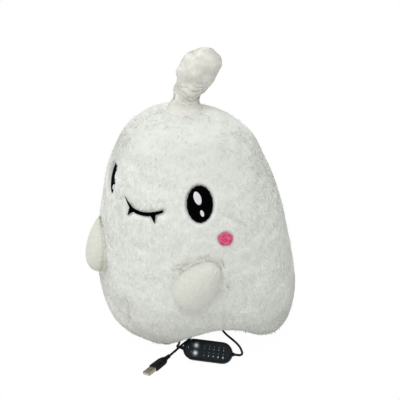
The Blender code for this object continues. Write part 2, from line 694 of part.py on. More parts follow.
def make_filling():
    reach = BODY_HEIGHT
    below = place("below_filling", box_mesh((-reach, -reach, -reach), (reach, reach, FILL_FLOOR)))
    front_limit = HEATER_Y - HEATER_SLOT / 2
    back_limit = HEATER_Y + HEATER_SLOT / 2
    for name, low, high in (("filling_front", front_limit, reach), ("filling_back", -reach, back_limit)):
        filling = place(name, body_mesh(closed=True, steps=24, every=2), "filling")
        swell(filling, -FUR_THICKNESS - FILL_GAP)
        other = place(name + "_limit", box_mesh((-reach, low, -reach), (reach, high, 2 * reach)))
        smooth(cut(filling, below, other), 60)


def make_heater():
    half = POUCH_WIDTH / 2
    pouch = place("heater_pouch", box_mesh((-half, HEATER_Y - POUCH_THICKNESS / 2, POUCH_BOTTOM),
                                           (half, HEATER_Y + POUCH_THICKNESS / 2, POUCH_BOTTOM + POUCH_HEIGHT)),
                  "heater_cloth")
    inside = half - 2 * POUCH_WALL
    depth = POUCH_THICKNESS / 2 - POUCH_WALL
    cavity = place("pouch_cavity", box_mesh(
        (-inside, HEATER_Y - depth, POUCH_BOTTOM - CUT_MARGIN),
        (inside, HEATER_Y + depth, POUCH_BOTTOM + POUCH_HEIGHT - 2 * POUCH_WALL)))
    cut(bevel(pouch, 0.003), cavity)
    film_back = HEATER_Y + FILM_THICKNESS + SEAM_GAP
    film_front = film_back - FILM_THICKNESS
    place("heating_film", box_mesh((-FILM_WIDTH / 2, film_front, FILM_BOTTOM),
                                   (FILM_WIDTH / 2, film_back, FILM_BOTTOM + FILM_HEIGHT)), "heater_film")
    wire_y = film_front - SEAM_GAP - WIRE_DIAMETER / 2
    tube("heating_wire", heating_route(wire_y), WIRE_DIAMETER, "carbon_wire", resolution=1)
    width, depth, height = CUTOUT_SIZE
    back = film_front - SEAM_GAP
    place("thermal_cutout", box_mesh((CUTOUT_X - width / 2, back - depth, CUTOUT_Z - height / 2),
                                     (CUTOUT_X + width / 2, back, CUTOUT_Z + height / 2)), "cutout_case")


def heating_route(y):
    # Upright runs joined by half circles at alternate ends.
    points = []
    radius = WIRE_RUN_PITCH / 2
    left = -WIRE_RUN_PITCH * (WIRE_RUNS - 1) / 2
    for run in range(WIRE_RUNS):
        x = left + run * WIRE_RUN_PITCH
        up = run % 2 == 0
        points.append((x, y, WIRE_BOTTOM + radius if up else WIRE_TOP - radius))
        points.append((x, y, WIRE_TOP - radius if up else WIRE_BOTTOM + radius))
        if run < WIRE_RUNS - 1:
            centre = (x + radius, WIRE_TOP - radius if up else WIRE_BOTTOM + radius)
            side = 1 if up else -1
            for k in range(1, 4):
                angle = math.pi * (1 - k / 4)
                points.append((centre[0] + radius * math.cos(angle), y, centre[1] + side * radius * math.sin(angle)))
    return points


# Topknot and arms

def topknot_surface(x, y, z):
    # A tuft that leans with its height, with three soft lumps round its head.
    turn = np.arctan2(y, x)
    head = np.clip(z / TOPKNOT_PROFILE[-1][0], 0, 1)
    lump = 1 + TOPKNOT_LUMP * head * np.cos(3 * turn + 0.9) + TOPKNOT_LUMP / 2 * head * np.cos(2 * turn - 0.5)
    side, back = TOPKNOT_LEAN
    return x * lump + side * z, y * lump + back * z, z


def make_topknot(body_outline):
    profile = [(radius, height) for height, radius in TOPKNOT_PROFILE[::-1]]
    profile.append((0.0, profile[-1][1]))
    mesh = reshape(turned_mesh(profile, TOPKNOT_STEPS), topknot_surface)
    crown = Matrix.Translation((TOPKNOT_X, -BODY_FORWARD_LEAN, BODY_HEIGHT - HEM_FLAT))
    topknot = place("topknot", mesh, "white_fur", crown)
    smooth(cut(topknot, body_outline), 60)


def arm_mesh(shrink=0.0, segments=18, rings=10):
    # An egg, narrower at the root end (+X); its origin is on the sewn line.
    mesh = bpy.data.meshes.new("arm")
    shape = bmesh.new()
    bmesh.ops.create_uvsphere(shape, u_segments=segments, v_segments=rings, radius=1)
    bmesh.ops.rotate(shape, matrix=Matrix.Rotation(math.pi / 2, 3, "Y"), verts=shape.verts)
    shape.to_mesh(mesh)
    shape.free()
    long, wide, deep = ARM_LENGTH / 2 - shrink, ARM_WIDTH / 2 - shrink, ARM_DEPTH / 2 - shrink

    def egg(x, y, z):
        taper = 1 - ARM_TAPER * x
        return x * long, y * wide * taper, z * deep * taper

    return reshape(mesh, egg)


def arm_frame(side):
    # Centre of the arm: X up towards the root, Z out of the body. The other arm is its mirror image.
    frame = fur_frame(math.radians(ARM_TURN), ARM_HEIGHT, ARM_SLANT) @ Matrix.Translation((0, 0, ARM_STAND_OFF))
    if side < 0:
        flip = Matrix.Diagonal((-1, 1, 1, 1))
        frame = flip @ frame @ Matrix.Diagonal((1, -1, 1, 1))
    return frame


def make_arm(name, side, body_outline):
    frame = arm_frame(side)
    sewn = Matrix.Translation((ARM_LENGTH / 2 - ARM_HINGE_INSET, 0, -ARM_STAND_OFF - ARM_HINGE_DROP))
    at = frame @ sewn
    skin_mesh = arm_mesh()
    skin_mesh.transform(sewn.inverted())
    skin = place(f"{name}_skin", skin_mesh, "cream_velboa", at)
    hollow_mesh = arm_mesh(ARM_SKIN, 14, 8)
    hollow_mesh.transform(sewn.inverted())
    hollow = place(f"{name}_hollow", hollow_mesh, matrix=at)
    filling_mesh = arm_mesh(ARM_SKIN + 2 * SEAM_GAP, 14, 8)
    filling_mesh.transform(sewn.inverted())
    filling = place(f"{name}_filling", filling_mesh, "filling", at)
    smooth(cut(skin, hollow, body_outline), 60)
    smooth(cut(filling, body_outline), 60)
    print(name, "sewn line at", [round(v, 5) for v in at.translation],
          "axis", [round(v, 5) for v in at.to_3x3() @ Vector((0, 1, 0))])


# Embroidery

def on_fur(turn, height, across, up, rise):
    # A point reached from (turn, height) by going across and up along the fur, then out by rise.
    step = 1e-4
    slope = (half_width(np.array(height + step)) - half_width(np.array(height))) / step
    z = height + up / np.sqrt(1 + slope ** 2)
    angle = turn + across / half_width(z)
    at = np.stack(fur_surface(angle, z))
    side = np.stack(fur_surface(angle + step, z)) - at
    above = np.stack(fur_surface(angle, z + step)) - at
    out = np.cross(side, above, axis=0)
    return tuple(at + rise * out / np.linalg.norm(out, axis=0))


def patch_mesh(turn, height, offset, half_sizes, tilt, rise, steps=24):
    # An oval of thread, laid on the fur: rings of points, swept onto its surface.
    mesh = turned_mesh([(0, 0), (0.5, 0), (1, 0)], steps)
    angle = math.radians(tilt)
    wide, high = half_sizes

    def lay(x, y, z):
        u, v = x * wide, y * high
        across = offset[0] + u * math.cos(angle) + v * math.sin(angle)
        up = offset[1] - u * math.sin(angle) + v * math.cos(angle)
        return on_fur(turn, height, across, up, rise)

    return reshape(mesh, lay)


def thread_patch(name, mesh, finish):
    patch = place(name, mesh, finish)
    modifier = patch.modifiers.new("pile", "SOLIDIFY")
    modifier.thickness = THREAD_PILE
    modifier.offset = 1
    return smooth(patch, 50)


def make_eye(name, side):
    turn, height, wide, high, tilt = EYE
    turn = side * math.radians(turn)
    low = SEAM_GAP + 0.0002
    thread_patch(f"{name}_eye", patch_mesh(turn, height, (0, 0), (wide, high), side * tilt, low), "black_thread")
    over = low + THREAD_PILE + SEAM_GAP
    for label, (across, up, wide, high, tilt) in (("large", LARGE_GLINT), ("small", SMALL_GLINT)):
        mesh = patch_mesh(turn, height, (side * across, up), (wide, high), side * tilt, over, steps=14)
        thread_patch(f"{name}_eye_{label}_glint", mesh, "white_thread")


def make_cheek(name, side):
    turn, height, wide, high, tilt = CHEEK
    mesh = patch_mesh(side * math.radians(turn), height, (0, 0), (wide, high), tilt, SEAM_GAP + 0.0002, steps=20)
    thread_patch(f"{name}_cheek", mesh, "pink_thread")


def stroke_mesh(route, widths, rise):
    # A line of satin stitch: a strip along a route of (across, height) points, as wide as told.
    route, widths = np.array(route), np.array(widths)
    along = np.gradient(route, axis=0)
    along /= np.linalg.norm(along, axis=1)[:, None]
    normal = np.stack([-along[:, 1], along[:, 0]], axis=-1) * widths[:, None] / 2
    edges = np.concatenate([route - normal, route + normal])
    mesh = bpy.data.meshes.new("stroke")
    count = len(route)
    mesh.from_pydata([(x, 0, z) for x, z in edges], [],
                     [(k, k + 1, k + 1 + count, k + count) for k in range(count - 1)])

    def lay(x, y, z):
        return on_fur(x / half_width(z), z, 0 * x, 0 * x, rise)

    return reshape(mesh, lay)


def make_mouth():
    share = np.linspace(-1, 1, 19)
    drop = MOUTH_CORNER_HEIGHT - MOUTH_LOW_HEIGHT
    smile = [(MOUTH_X + s * MOUTH_HALF_WIDTH, MOUTH_LOW_HEIGHT + drop * abs(s) ** MOUTH_SQUARENESS) for s in share]
    taper = MOUTH_THREAD * (1 - 0.75 * np.abs(share) ** 4)
    rise = SEAM_GAP + 0.0002
    mouth = thread_patch("mouth", stroke_mesh(smile, taper, rise), "black_thread")
    for side in (-1, 1):
        s = side * MOUTH_TICK_X
        top = MOUTH_LOW_HEIGHT + drop * (MOUTH_TICK_X / MOUTH_HALF_WIDTH) ** MOUTH_SQUARENESS
        down = np.linspace(0, 1, 4)
        tick = [(MOUTH_X + s + side * MOUTH_TICK_RUN * t, top - MOUTH_TICK_DROP * t) for t in down]
        mesh = stroke_mesh(tick, MOUTH_THREAD * (1 - 0.7 * down), rise + 0.0001)
        stitch = place(f"mouth_tick_{side}", mesh)
        modifier = stitch.modifiers.new("pile", "SOLIDIFY")
        modifier.thickness = THREAD_PILE - 0.0002
        modifier.offset = 1
        join(mouth, stitch)


# Controller

def controller_frame():
    heading = Matrix.Rotation(math.radians(CONTROLLER_HEADING), 4, "Z")
    tilt = Matrix.Rotation(math.radians(CONTROLLER_TILT), 4, "X")
    frame = bpy.data.objects.new("controller_frame", None)
    PARTS.objects.link(frame)
    frame.matrix_world = Matrix.Translation(CONTROLLER_CENTRE) @ heading @ tilt
    return frame


FACE = CASE_THICKNESS / 2                     # the case's front, over its middle
RECESS_FLOOR = FACE - OVERLAY_RECESS
COVER_INSIDE = RECESS_FLOOR - CASE_WALL
BOARD_BACK = -FACE + LEDGE_DEPTH + SEAM_GAP
BOARD_FRONT = BOARD_BACK + BOARD_THICKNESS


def case_block(name, finish, frame):
    block = place(name, plate_mesh([stadium(CASE_LENGTH, CASE_WIDTH)], -FACE, FACE), finish, parent=frame)
    bevel(block, CASE_EDGE_RADIUS, 3)
    return block


def pill_cutter(name, inset, low, high, frame):
    outline = stadium(CASE_LENGTH - 2 * inset, CASE_WIDTH - 2 * inset, 8)
    return place(name, plate_mesh([outline], low, high), parent=frame)


def rod_cutter(name, radius, start, end, frame, segments=16):
    return place(name, rod_mesh(radius, start, end, segments), parent=frame)


def make_case(frame):
    over = CASE_LENGTH
    base = case_block("controller_base", "case_black", frame)
    cover = case_block("controller_cover", "case_black", frame)
    above = place("above_parting", box_mesh((-over, -over, CASE_PARTING), (over, over, over)), parent=frame)
    below = place("below_parting", box_mesh((-over, -over, -over), (over, over, CASE_PARTING + PARTING_GAP)),
                  parent=frame)
    base_room = pill_cutter("base_room", CASE_WALL, -FACE + LEDGE_DEPTH, FACE, frame)
    base_well = pill_cutter("base_well", CASE_WALL + LEDGE_WIDTH, -FACE + CASE_WALL, FACE, frame)
    cover_room = pill_cutter("cover_room", CASE_WALL, -FACE, COVER_INSIDE, frame)
    recess = pill_cutter("overlay_recess", OVERLAY_MARGIN - SEAM_GAP, RECESS_FLOOR, FACE + CUT_MARGIN, frame)
    cord_way = rod_cutter("cord_way", RELIEF_NECK_RADIUS + SEAM_GAP, (-over, 0, CASE_PARTING),
                          (over, 0, CASE_PARTING), frame)
    cut(base, above, base_room, base_well, cord_way)
    cut(cover, below, cover_room, recess, cord_way)
    for k, x in enumerate((-SCREW_X, SCREW_X)):
        add_screw(k, x, base, cover, frame)
    for k, y in enumerate(button_rows()):
        cut(cover, rod_cutter(f"button_hole_{k}", BUTTON_RADIUS + BUTTON_CLEARANCE, (BUTTON_X, y, 0),
                              (BUTTON_X, y, FACE + CUT_MARGIN), frame, 28))
    for x, y in light_places():
        wide, high = (side / 2 + BUTTON_CLEARANCE / 2 for side in LIGHT_WINDOW)
        window = box_mesh((x - wide, y - high, 0), (x + wide, y + high, FACE + CUT_MARGIN))
        cut(cover, place("light_window", window, parent=frame))
    smooth(base)
    smooth(cover)


def button_rows():
    return (BUTTON_SPACING / 2, -BUTTON_SPACING / 2)


def light_places():
    return [(LIGHT_FIRST_X + k * LIGHT_PITCH, row) for row in (LIGHT_ROW_Y, -LIGHT_ROW_Y) for k in range(LIGHT_COUNT)]


def add_screw(k, x, base, cover, frame):
    # A boss in the back shell and one in the cover, with a screw through the first into the second.
    split = CASE_PARTING - PARTING_GAP
    join(base, rod_cutter(f"base_boss_{k}", SCREW_BOSS_RADIUS, (x, 0, -FACE + CASE_WALL / 2), (x, 0, split), frame))
    join(cover, rod_cutter(f"cover_boss_{k}", SCREW_BOSS_RADIUS, (x, 0, CASE_PARTING + 2 * PARTING_GAP),
                           (x, 0, COVER_INSIDE + CASE_WALL / 2), frame))
    seat = -FACE + SCREW_HEAD_HEIGHT + SCREW_CLEARANCE
    tip = COVER_INSIDE - SCREW_CLEARANCE
    cut(base, rod_cutter(f"head_well_{k}", SCREW_HEAD_RADIUS + SCREW_CLEARANCE, (x, 0, -FACE - CUT_MARGIN),
                         (x, 0, seat), frame),
        rod_cutter(f"base_screw_hole_{k}", SCREW_SHANK_RADIUS + SCREW_CLEARANCE, (x, 0, -FACE), (x, 0, FACE), frame, 12))
    cut(cover, rod_cutter(f"cover_screw_hole_{k}", SCREW_SHANK_RADIUS + SCREW_CLEARANCE, (x, 0, 0),
                          (x, 0, tip + SCREW_CLEARANCE), frame, 12))
    screw = place(f"case_screw_{'left' if x < 0 else 'right'}",
                  rod_mesh(SCREW_SHANK_RADIUS, (x, 0, -FACE + SCREW_CLEARANCE), (x, 0, tip), 12), "screw_steel",
                  parent=frame)
    head = rod_cutter(f"screw_head_{k}", SCREW_HEAD_RADIUS, (x, 0, -FACE + SCREW_CLEARANCE / 2),
                      (x, 0, seat - SCREW_CLEARANCE), frame)
    drive = place(f"screw_drive_{k}", box_mesh((x - SCREW_HEAD_RADIUS * 0.6, -0.0002, -FACE - CUT_MARGIN),
                                               (x + SCREW_HEAD_RADIUS * 0.6, 0.0002, -FACE + 0.0008)), parent=frame)
    smooth(cut(join(screw, head), drive))


def make_overlay(frame):
    low = RECESS_FLOOR + SEAM_GAP / 2
    outline = stadium(CASE_LENGTH - 2 * OVERLAY_MARGIN, CASE_WIDTH - 2 * OVERLAY_MARGIN)
    holes = [[(BUTTON_X + (BUTTON_RADIUS + BUTTON_CLEARANCE) * math.cos(a),
               y + (BUTTON_RADIUS + BUTTON_CLEARANCE) * math.sin(a))
              for a in np.linspace(0, 2 * math.pi, 28, endpoint=False)] for y in button_rows()]
    place("controller_overlay", plate_mesh([outline, *holes], low, low + OVERLAY_THICKNESS), "overlay_film",
          parent=frame)


def make_buttons(frame):
    # A dished cap on a flange that the cover holds in; its foot stops just over the switch.
    top = RECESS_FLOOR + SEAM_GAP / 2 + OVERLAY_THICKNESS + BUTTON_PROUD
    flange_top = COVER_INSIDE - SEAM_GAP
    flange = BUTTON_RADIUS + BUTTON_FLANGE_LIP
    profile = [(0, top - 0.0005), (BUTTON_RADIUS * 0.45, top - 0.0004), (BUTTON_RADIUS * 0.72, top),
               (BUTTON_RADIUS * 0.9, top - 0.0001), (BUTTON_RADIUS, top - 0.0005), (BUTTON_RADIUS, flange_top),
               (flange, flange_top), (flange, flange_top - BUTTON_FLANGE), (0, flange_top - BUTTON_FLANGE)]
    for name, y in zip(("timer_button", "heat_button"), button_rows()):
        button = place(name, turned_mesh(profile, 24), "button_silver", Matrix.Translation((BUTTON_X, y, 0)), frame)
        smooth(button)


def make_circuit(frame):
    place("circuit_board", box_mesh((-BOARD_LENGTH / 2, -BOARD_WIDTH / 2, BOARD_BACK),
                                    (BOARD_LENGTH / 2, BOARD_WIDTH / 2, BOARD_FRONT)), "circuit_board", parent=frame)
    foot = COVER_INSIDE - SEAM_GAP - BUTTON_FLANGE
    for name, y in zip(("timer_switch", "heat_switch"), button_rows()):
        half = SWITCH_SIDE / 2
        base = BOARD_FRONT + SEAM_GAP
        switch = place(name, box_mesh((BUTTON_X - half, y - half, base), (BUTTON_X + half, y + half, base + SWITCH_HEIGHT)),
                       "switch_body", parent=frame)
        plunger = rod_cutter(f"{name}_plunger", PLUNGER_RADIUS, (BUTTON_X, y, base + SWITCH_HEIGHT / 2),
                             (BUTTON_X, y, foot - BUTTON_TRAVEL - 0.0001), frame)
        join(switch, plunger)


def make_light_guides(frame):
    bar_width, bar_thickness = GUIDE_BAR
    bar_top = COVER_INSIDE - SEAM_GAP
    end = LIGHT_WINDOW[0]
    for name, row in (("upper_light_guide", LIGHT_ROW_Y), ("lower_light_guide", -LIGHT_ROW_Y)):
        last = LIGHT_FIRST_X + (LIGHT_COUNT - 1) * LIGHT_PITCH
        bar = box_mesh((LIGHT_FIRST_X - end, row - bar_width / 2, bar_top - bar_thickness),
                       (last + end, row + bar_width / 2, bar_top))
        guide = place(name, bar, "light_guide", parent=frame)
        for x, y in light_places():
            if y == row:
                wide, high = (side / 2 for side in LIGHT_WINDOW)
                post = box_mesh((x - wide, y - high, bar_top - bar_thickness / 2), (x + wide, y + high, RECESS_FLOOR))
                join(guide, place("light_post", post, parent=frame))


def make_reliefs(frame):
    # Each relief is a grommet: a flange inside, a neck in the wall and a short tapered nose outside.
    wall_out = CASE_LENGTH / 2
    wall_in = wall_out - CASE_WALL
    flange = wall_in - RELIEF_FLANGE_SETBACK
    profile = [(0, wall_out + RELIEF_NOSE_LENGTH), (RELIEF_NOSE_RADIUS, wall_out + RELIEF_NOSE_LENGTH),
               (RELIEF_FLANGE_RADIUS + 0.0004, wall_out + SEAM_GAP), (RELIEF_NECK_RADIUS, wall_out + SEAM_GAP),
               (RELIEF_NECK_RADIUS, flange), (RELIEF_FLANGE_RADIUS, flange),
               (RELIEF_FLANGE_RADIUS, flange - RELIEF_FLANGE_THICKNESS), (0, flange - RELIEF_FLANGE_THICKNESS)]
    for name, side in (("heater_lead_relief", 1), ("usb_lead_relief", -1)):
        turn = Matrix.Rotation(side * math.pi / 2, 4, "Y")
        relief = place(name, turned_mesh(profile, 16), "cord_black", Matrix.Translation((0, 0, CASE_PARTING)) @ turn,
                       frame)
        smooth(relief)


def relief_tip(frame, side, beyond):
    reach = CASE_LENGTH / 2 + RELIEF_NOSE_LENGTH + beyond
    return frame.matrix_world @ Vector((side * reach, 0, CASE_PARTING))


# USB plug

def plug_frame():
    # The plug lies on the rounded edge of its boot.
    frame = bpy.data.objects.new("plug_frame", None)
    PARTS.objects.link(frame)
    roll = math.radians(PLUG_ROLL)
    middle = CORD_FLOOR_GAP + PLUG_BOOT_ROUNDING + (PLUG_BOOT_THICKNESS / 2 - PLUG_BOOT_ROUNDING) * math.cos(roll) + (
        PLUG_BOOT_WIDTH / 2 - PLUG_BOOT_ROUNDING) * math.sin(roll)
    heading = Matrix.Rotation(math.radians(PLUG_HEADING), 4, "Z")
    frame.matrix_world = Matrix.Translation((*PLUG_CORD_POINT, middle)) @ heading @ Matrix.Rotation(roll, 4, "X")
    return frame


def make_plug(frame):
    start, end = PLUG_RELIEF_LENGTH, PLUG_RELIEF_LENGTH + PLUG_BOOT_LENGTH
    boot = place("plug_boot", box_mesh((start, -PLUG_BOOT_WIDTH / 2, -PLUG_BOOT_THICKNESS / 2),
                                       (end, PLUG_BOOT_WIDTH / 2, PLUG_BOOT_THICKNESS / 2)), "cord_black",
                 parent=frame)

    def narrow(x, y, z):
        back = np.where(x < (start + end) / 2, PLUG_BOOT_BACK_SHARE, 1.0)
        return x, y * back, z * (0.5 + 0.5 * back)

    reshape(boot.data, narrow)
    bevel(boot, PLUG_BOOT_ROUNDING, 3)
    relief = place("boot_relief", rod_mesh(PLUG_RELIEF_RADII[0], (SEAM_GAP, 0, 0), (start + 0.002, 0, 0), 16,
                                           PLUG_RELIEF_RADII[1]), parent=frame)
    socket = place("boot_socket", shell_block(end - 0.0045, end + CUT_MARGIN, SEAM_GAP), parent=frame)
    smooth(cut(join(boot, relief), socket))
    shell_start = end - 0.0045 + SEAM_GAP
    shell_end = end + PLUG_SHELL_LENGTH
    shell = place("plug_shell", shell_block(shell_start, shell_end, 0), "plug_nickel", parent=frame)
    bore = place("shell_bore", shell_block(shell_start + 0.0008, shell_end + CUT_MARGIN, -PLUG_SHELL_WALL), parent=frame)
    cut(bevel(shell, 0.0005, 2), bore)
    for side in (-1, 1):
        middle = end + PLUG_SHELL_LENGTH * 0.45
        y = side * PLUG_SHELL_WIDTH * 0.22
        window = box_mesh((middle - PLUG_WINDOW / 2, y - PLUG_WINDOW / 2, -PLUG_SHELL_THICKNESS),
                          (middle + PLUG_WINDOW / 2, y + PLUG_WINDOW / 2, PLUG_SHELL_THICKNESS))
        cut(shell, place("shell_window", window, parent=frame))
    make_tongue(frame, shell_start + 0.0008 + SEAM_GAP, shell_end - 0.0005)


def shell_block(start, end, grow):
    wide, high = PLUG_SHELL_WIDTH / 2 + grow, PLUG_SHELL_THICKNESS / 2 + grow
    return box_mesh((start, -wide, -high), (end, wide, high))


def make_tongue(frame, start, end):
    inside = PLUG_SHELL_WALL + SEAM_GAP
    wide = PLUG_SHELL_WIDTH / 2 - inside
    low = -PLUG_SHELL_THICKNESS / 2 + inside
    top = low + PLUG_TONGUE_THICKNESS
    place("plug_tongue", box_mesh((start, -wide, low), (end, wide, top)), "plug_insulator", parent=frame)
    for k in range(4):
        y = (k - 1.5) * PLUG_CONTACT_PITCH
        contact = box_mesh((end - 0.0095, y - PLUG_CONTACT_WIDTH / 2, top + SEAM_GAP / 2),
                           (end - 0.0012, y + PLUG_CONTACT_WIDTH / 2, top + SEAM_GAP / 2 + PLUG_CONTACT_THICKNESS))
        place(f"plug_contact_{k + 1}", contact, "contact_gold", parent=frame)


# Cords

def coil_points():
    # Spirals in on the floor layer, climbs a layer in the half turn where it reverses, and spirals out.
    pitch = CORD_DIAMETER + COIL_TURN_GAP
    low = TIE_THICKNESS + TIE_GAP + CORD_FLOOR_GAP + CORD_DIAMETER / 2
    turns = np.arange(0, COIL_TURNS_IN + COIL_TURNS_OUT + 1e-9, 1 / COIL_POINTS_PER_TURN)
    radius = COIL_INNER_RADIUS + pitch * np.abs(turns - COIL_TURNS_IN)
    climb = np.clip((turns - COIL_TURNS_IN + 0.25) / 0.5, 0, 1)
    height = low + pitch * climb * climb * (3 - 2 * climb)
    angle = 2 * math.pi * turns
    x, y = COIL_CENTRE
    return np.stack([x + radius * np.cos(angle), y + radius * np.sin(angle), height], axis=-1)


def least_gap(points, diameter):
    # The least distance between stretches of one cord that aren't neighbours along it, less a diameter.
    fine = smooth_route(points, diameter / 2)
    near = 6
    apart = np.linalg.norm(fine[:, None] - fine[None], axis=-1)
    rows = np.arange(len(fine))
    apart[np.abs(rows[:, None] - rows[None]) < near] = 1
    return float(apart.min()) - diameter


def cord_run(start, leaving, route, end, arriving, spacing=CORD_POINT_SPACING):
    # A route whose ends run straight for one diameter, square to what they meet.
    start, end = np.array(start), np.array(end)
    straight = CORD_DIAMETER
    middle = smooth_route([start + straight * np.array(leaving), *route, end - straight * np.array(arriving)],
                          spacing)
    return np.vstack([start, middle, end])


def make_cords(controller, plug):
    gap = SEAM_GAP
    along = controller.matrix_world.to_3x3() @ Vector((1, 0, 0))
    gland_tip = (*GLAND, BASE_LIFT - GLAND_NOSE_LENGTH - gap)
    coil = coil_points()
    first, last = coil[1] - coil[0], coil[-1] - coil[-2]
    first, last = first / np.linalg.norm(first), last / np.linalg.norm(last)
    plug_line = plug.matrix_world.to_3x3() @ Vector((1, 0, 0))
    runs = {
        "heater_lead": cord_run(relief_tip(controller, 1, gap), along, HEATER_ROUTE, gland_tip, (0, 0, 1)),
        "usb_lead_to_coil": cord_run(relief_tip(controller, -1, gap), -along, COIL_ROUTE, coil[0] - gap * first,
                                     first),
        "usb_lead_to_plug": cord_run(coil[-1] + gap * last, last, PLUG_ROUTE, plug.matrix_world.translation,
                                     plug_line),
    }
    for name, points in runs.items():
        tube(name, points, CORD_DIAMETER, "cord_black")
        print(name, "length", round(length_of(points), 4), "points", len(points))
    tube("usb_lead_coil", coil, CORD_DIAMETER, "cord_black", resolution=1)
    usb = length_of(coil) + sum(length_of(points) for name, points in runs.items() if name.startswith("usb"))
    print("usb lead length", round(usb, 4), "of which coil", round(length_of(coil), 4), "least gap in the coil",
          round(least_gap(coil, CORD_DIAMETER), 6))
    make_tie()


def make_tie():
    # A strap round the bundle at the side away from its ends, shaped to the coil's section.
    pitch = CORD_DIAMETER + COIL_TURN_GAP
    inner = COIL_INNER_RADIUS - CORD_DIAMETER / 2 - TIE_GAP
    outer = COIL_INNER_RADIUS + pitch * max(COIL_TURNS_IN, COIL_TURNS_OUT) + CORD_DIAMETER / 2 + TIE_GAP
    bottom = CORD_FLOOR_GAP
    top = bottom + 2 * (TIE_THICKNESS + TIE_GAP) + CORD_DIAMETER + pitch
    outline = [(inner - TIE_THICKNESS, bottom), (outer + TIE_THICKNESS, bottom), (outer + TIE_THICKNESS, top),
               (inner - TIE_THICKNESS, top)]
    hole = [(inner, bottom + TIE_THICKNESS), (outer, bottom + TIE_THICKNESS), (outer, top - TIE_THICKNESS),
            (inner, top - TIE_THICKNESS)]
    mesh = plate_mesh([outline, hole], -TIE_WIDTH / 2, TIE_WIDTH / 2)
    upright = Matrix.Rotation(math.pi / 2, 4, "X")
    around = Matrix.Rotation(math.radians(190), 4, "Z")
    mesh.transform(Matrix.Translation((*COIL_CENTRE, 0)) @ around @ upright)
    place("coil_tie", mesh, "tie_strap")


def make_gland_and_inner_lead():
    top = BASE_LIFT + BASE_THICKNESS + SEAM_GAP
    barrel = GLAND_HOLE_RADIUS - SEAM_GAP
    profile = [(0, top + GLAND_FLANGE_THICKNESS), (GLAND_FLANGE_RADIUS, top + GLAND_FLANGE_THICKNESS),
               (GLAND_FLANGE_RADIUS, top), (barrel, top), (barrel, BASE_LIFT - 0.001),
               (GLAND_NOSE_RADIUS, BASE_LIFT - GLAND_NOSE_LENGTH), (0, BASE_LIFT - GLAND_NOSE_LENGTH)]
    smooth(place("cord_gland", turned_mesh(profile, 20), "cord_black", Matrix.Translation((*GLAND, 0))))
    above = top + GLAND_FLANGE_THICKNESS + SEAM_GAP
    x, y = GLAND
    run = above + 0.0095
    route = [(0, HEATER_Y, POUCH_BOTTOM - 0.003), (0.002, HEATER_Y + 0.004, run + 0.003),
             (0.012, HEATER_Y + 0.016, run), (0.030, HEATER_Y + 0.036, run), (0.046, HEATER_Y + 0.054, run),
             (x - 0.005, y - 0.005, run - 0.0008), (x - 0.001, y - 0.001, run - 0.0035)]
    points = cord_run((0, HEATER_Y, FILM_BOTTOM - SEAM_GAP), (0, 0, -1), route, (x, y, above), (0, 0, -1), 0.006)
    tube("inner_lead", points, CORD_DIAMETER, "cord_black", resolution=1)


def set_back(distance):
    # Moves everything so that the origin is under the middle of the doll's box.
    for obj in bpy.data.objects:
        if obj.parent is None:
            obj.location.y += distance


def main():
    body_outline = make_body()
    make_base()
    make_zip()
    make_filling()
    make_heater()
    make_gland_and_inner_lead()
    make_topknot(body_outline)
    for name, side in (("left_arm", 1), ("right_arm", -1)):
        make_arm(name, side, body_outline)
    for name, side in (("left", 1), ("right", -1)):
        make_eye(name, side)
        make_cheek(name, side)
    make_mouth()
    controller, plug = controller_frame(), plug_frame()
    bpy.context.view_layer.update()
    make_case(controller)
    make_overlay(controller)
    make_buttons(controller)
    make_circuit(controller)
    make_light_guides(controller)
    make_reliefs(controller)
    make_plug(plug)
    make_cords(controller, plug)
    set_back(SET_BACK)


main()
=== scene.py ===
import math

import bpy
import numpy as np
from mathutils import Matrix, Vector


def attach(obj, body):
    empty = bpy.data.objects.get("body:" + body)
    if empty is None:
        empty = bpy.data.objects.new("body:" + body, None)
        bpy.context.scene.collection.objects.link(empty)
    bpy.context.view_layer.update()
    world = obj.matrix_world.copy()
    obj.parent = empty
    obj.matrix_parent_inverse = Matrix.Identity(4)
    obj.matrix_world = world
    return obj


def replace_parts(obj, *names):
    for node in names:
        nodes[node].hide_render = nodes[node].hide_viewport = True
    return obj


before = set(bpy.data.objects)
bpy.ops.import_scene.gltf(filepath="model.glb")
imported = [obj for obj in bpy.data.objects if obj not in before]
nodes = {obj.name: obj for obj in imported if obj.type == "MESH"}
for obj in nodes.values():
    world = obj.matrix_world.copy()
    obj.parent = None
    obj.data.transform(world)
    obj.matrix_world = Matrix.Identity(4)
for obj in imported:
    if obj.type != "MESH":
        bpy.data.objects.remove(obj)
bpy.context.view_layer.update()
finished = []      # every piece made here


# Arrays to meshes

def meshFrom(name, points, quads=(), triangles=()):
    # Corners, then the loops of the quads and the triangles, all handed over as whole arrays.
    quads = np.asarray(quads, np.int32).reshape(-1, 4)
    triangles = np.asarray(triangles, np.int32).reshape(-1, 3)
    loops = np.concatenate([quads.ravel(), triangles.ravel()])
    starts = np.concatenate([np.arange(len(quads)) * 4, len(quads) * 4 + np.arange(len(triangles)) * 3])
    mesh = bpy.data.meshes.new(name)
    mesh.vertices.add(len(points))
    mesh.vertices.foreach_set("co", np.asarray(points, np.float32).ravel())
    mesh.loops.add(len(loops))
    mesh.loops.foreach_set("vertex_index", loops)
    mesh.polygons.add(len(starts))
    mesh.polygons.foreach_set("loop_start", starts.astype(np.int32))
    mesh.update(calc_edges=True)
    mesh.validate()
    return mesh


def gridQuads(rows, columns, closed=False):
    # Corner numbers of a grid's quads, right then up; closed joins the last column to the first.
    row, column = np.meshgrid(np.arange(rows - 1), np.arange(columns if closed else columns - 1),
                              indexing="ij")
    after = (column + 1) % columns
    return np.stack([row * columns + column, row * columns + after,
                     (row + 1) * columns + after, (row + 1) * columns + column], axis=-1).reshape(-1, 4)


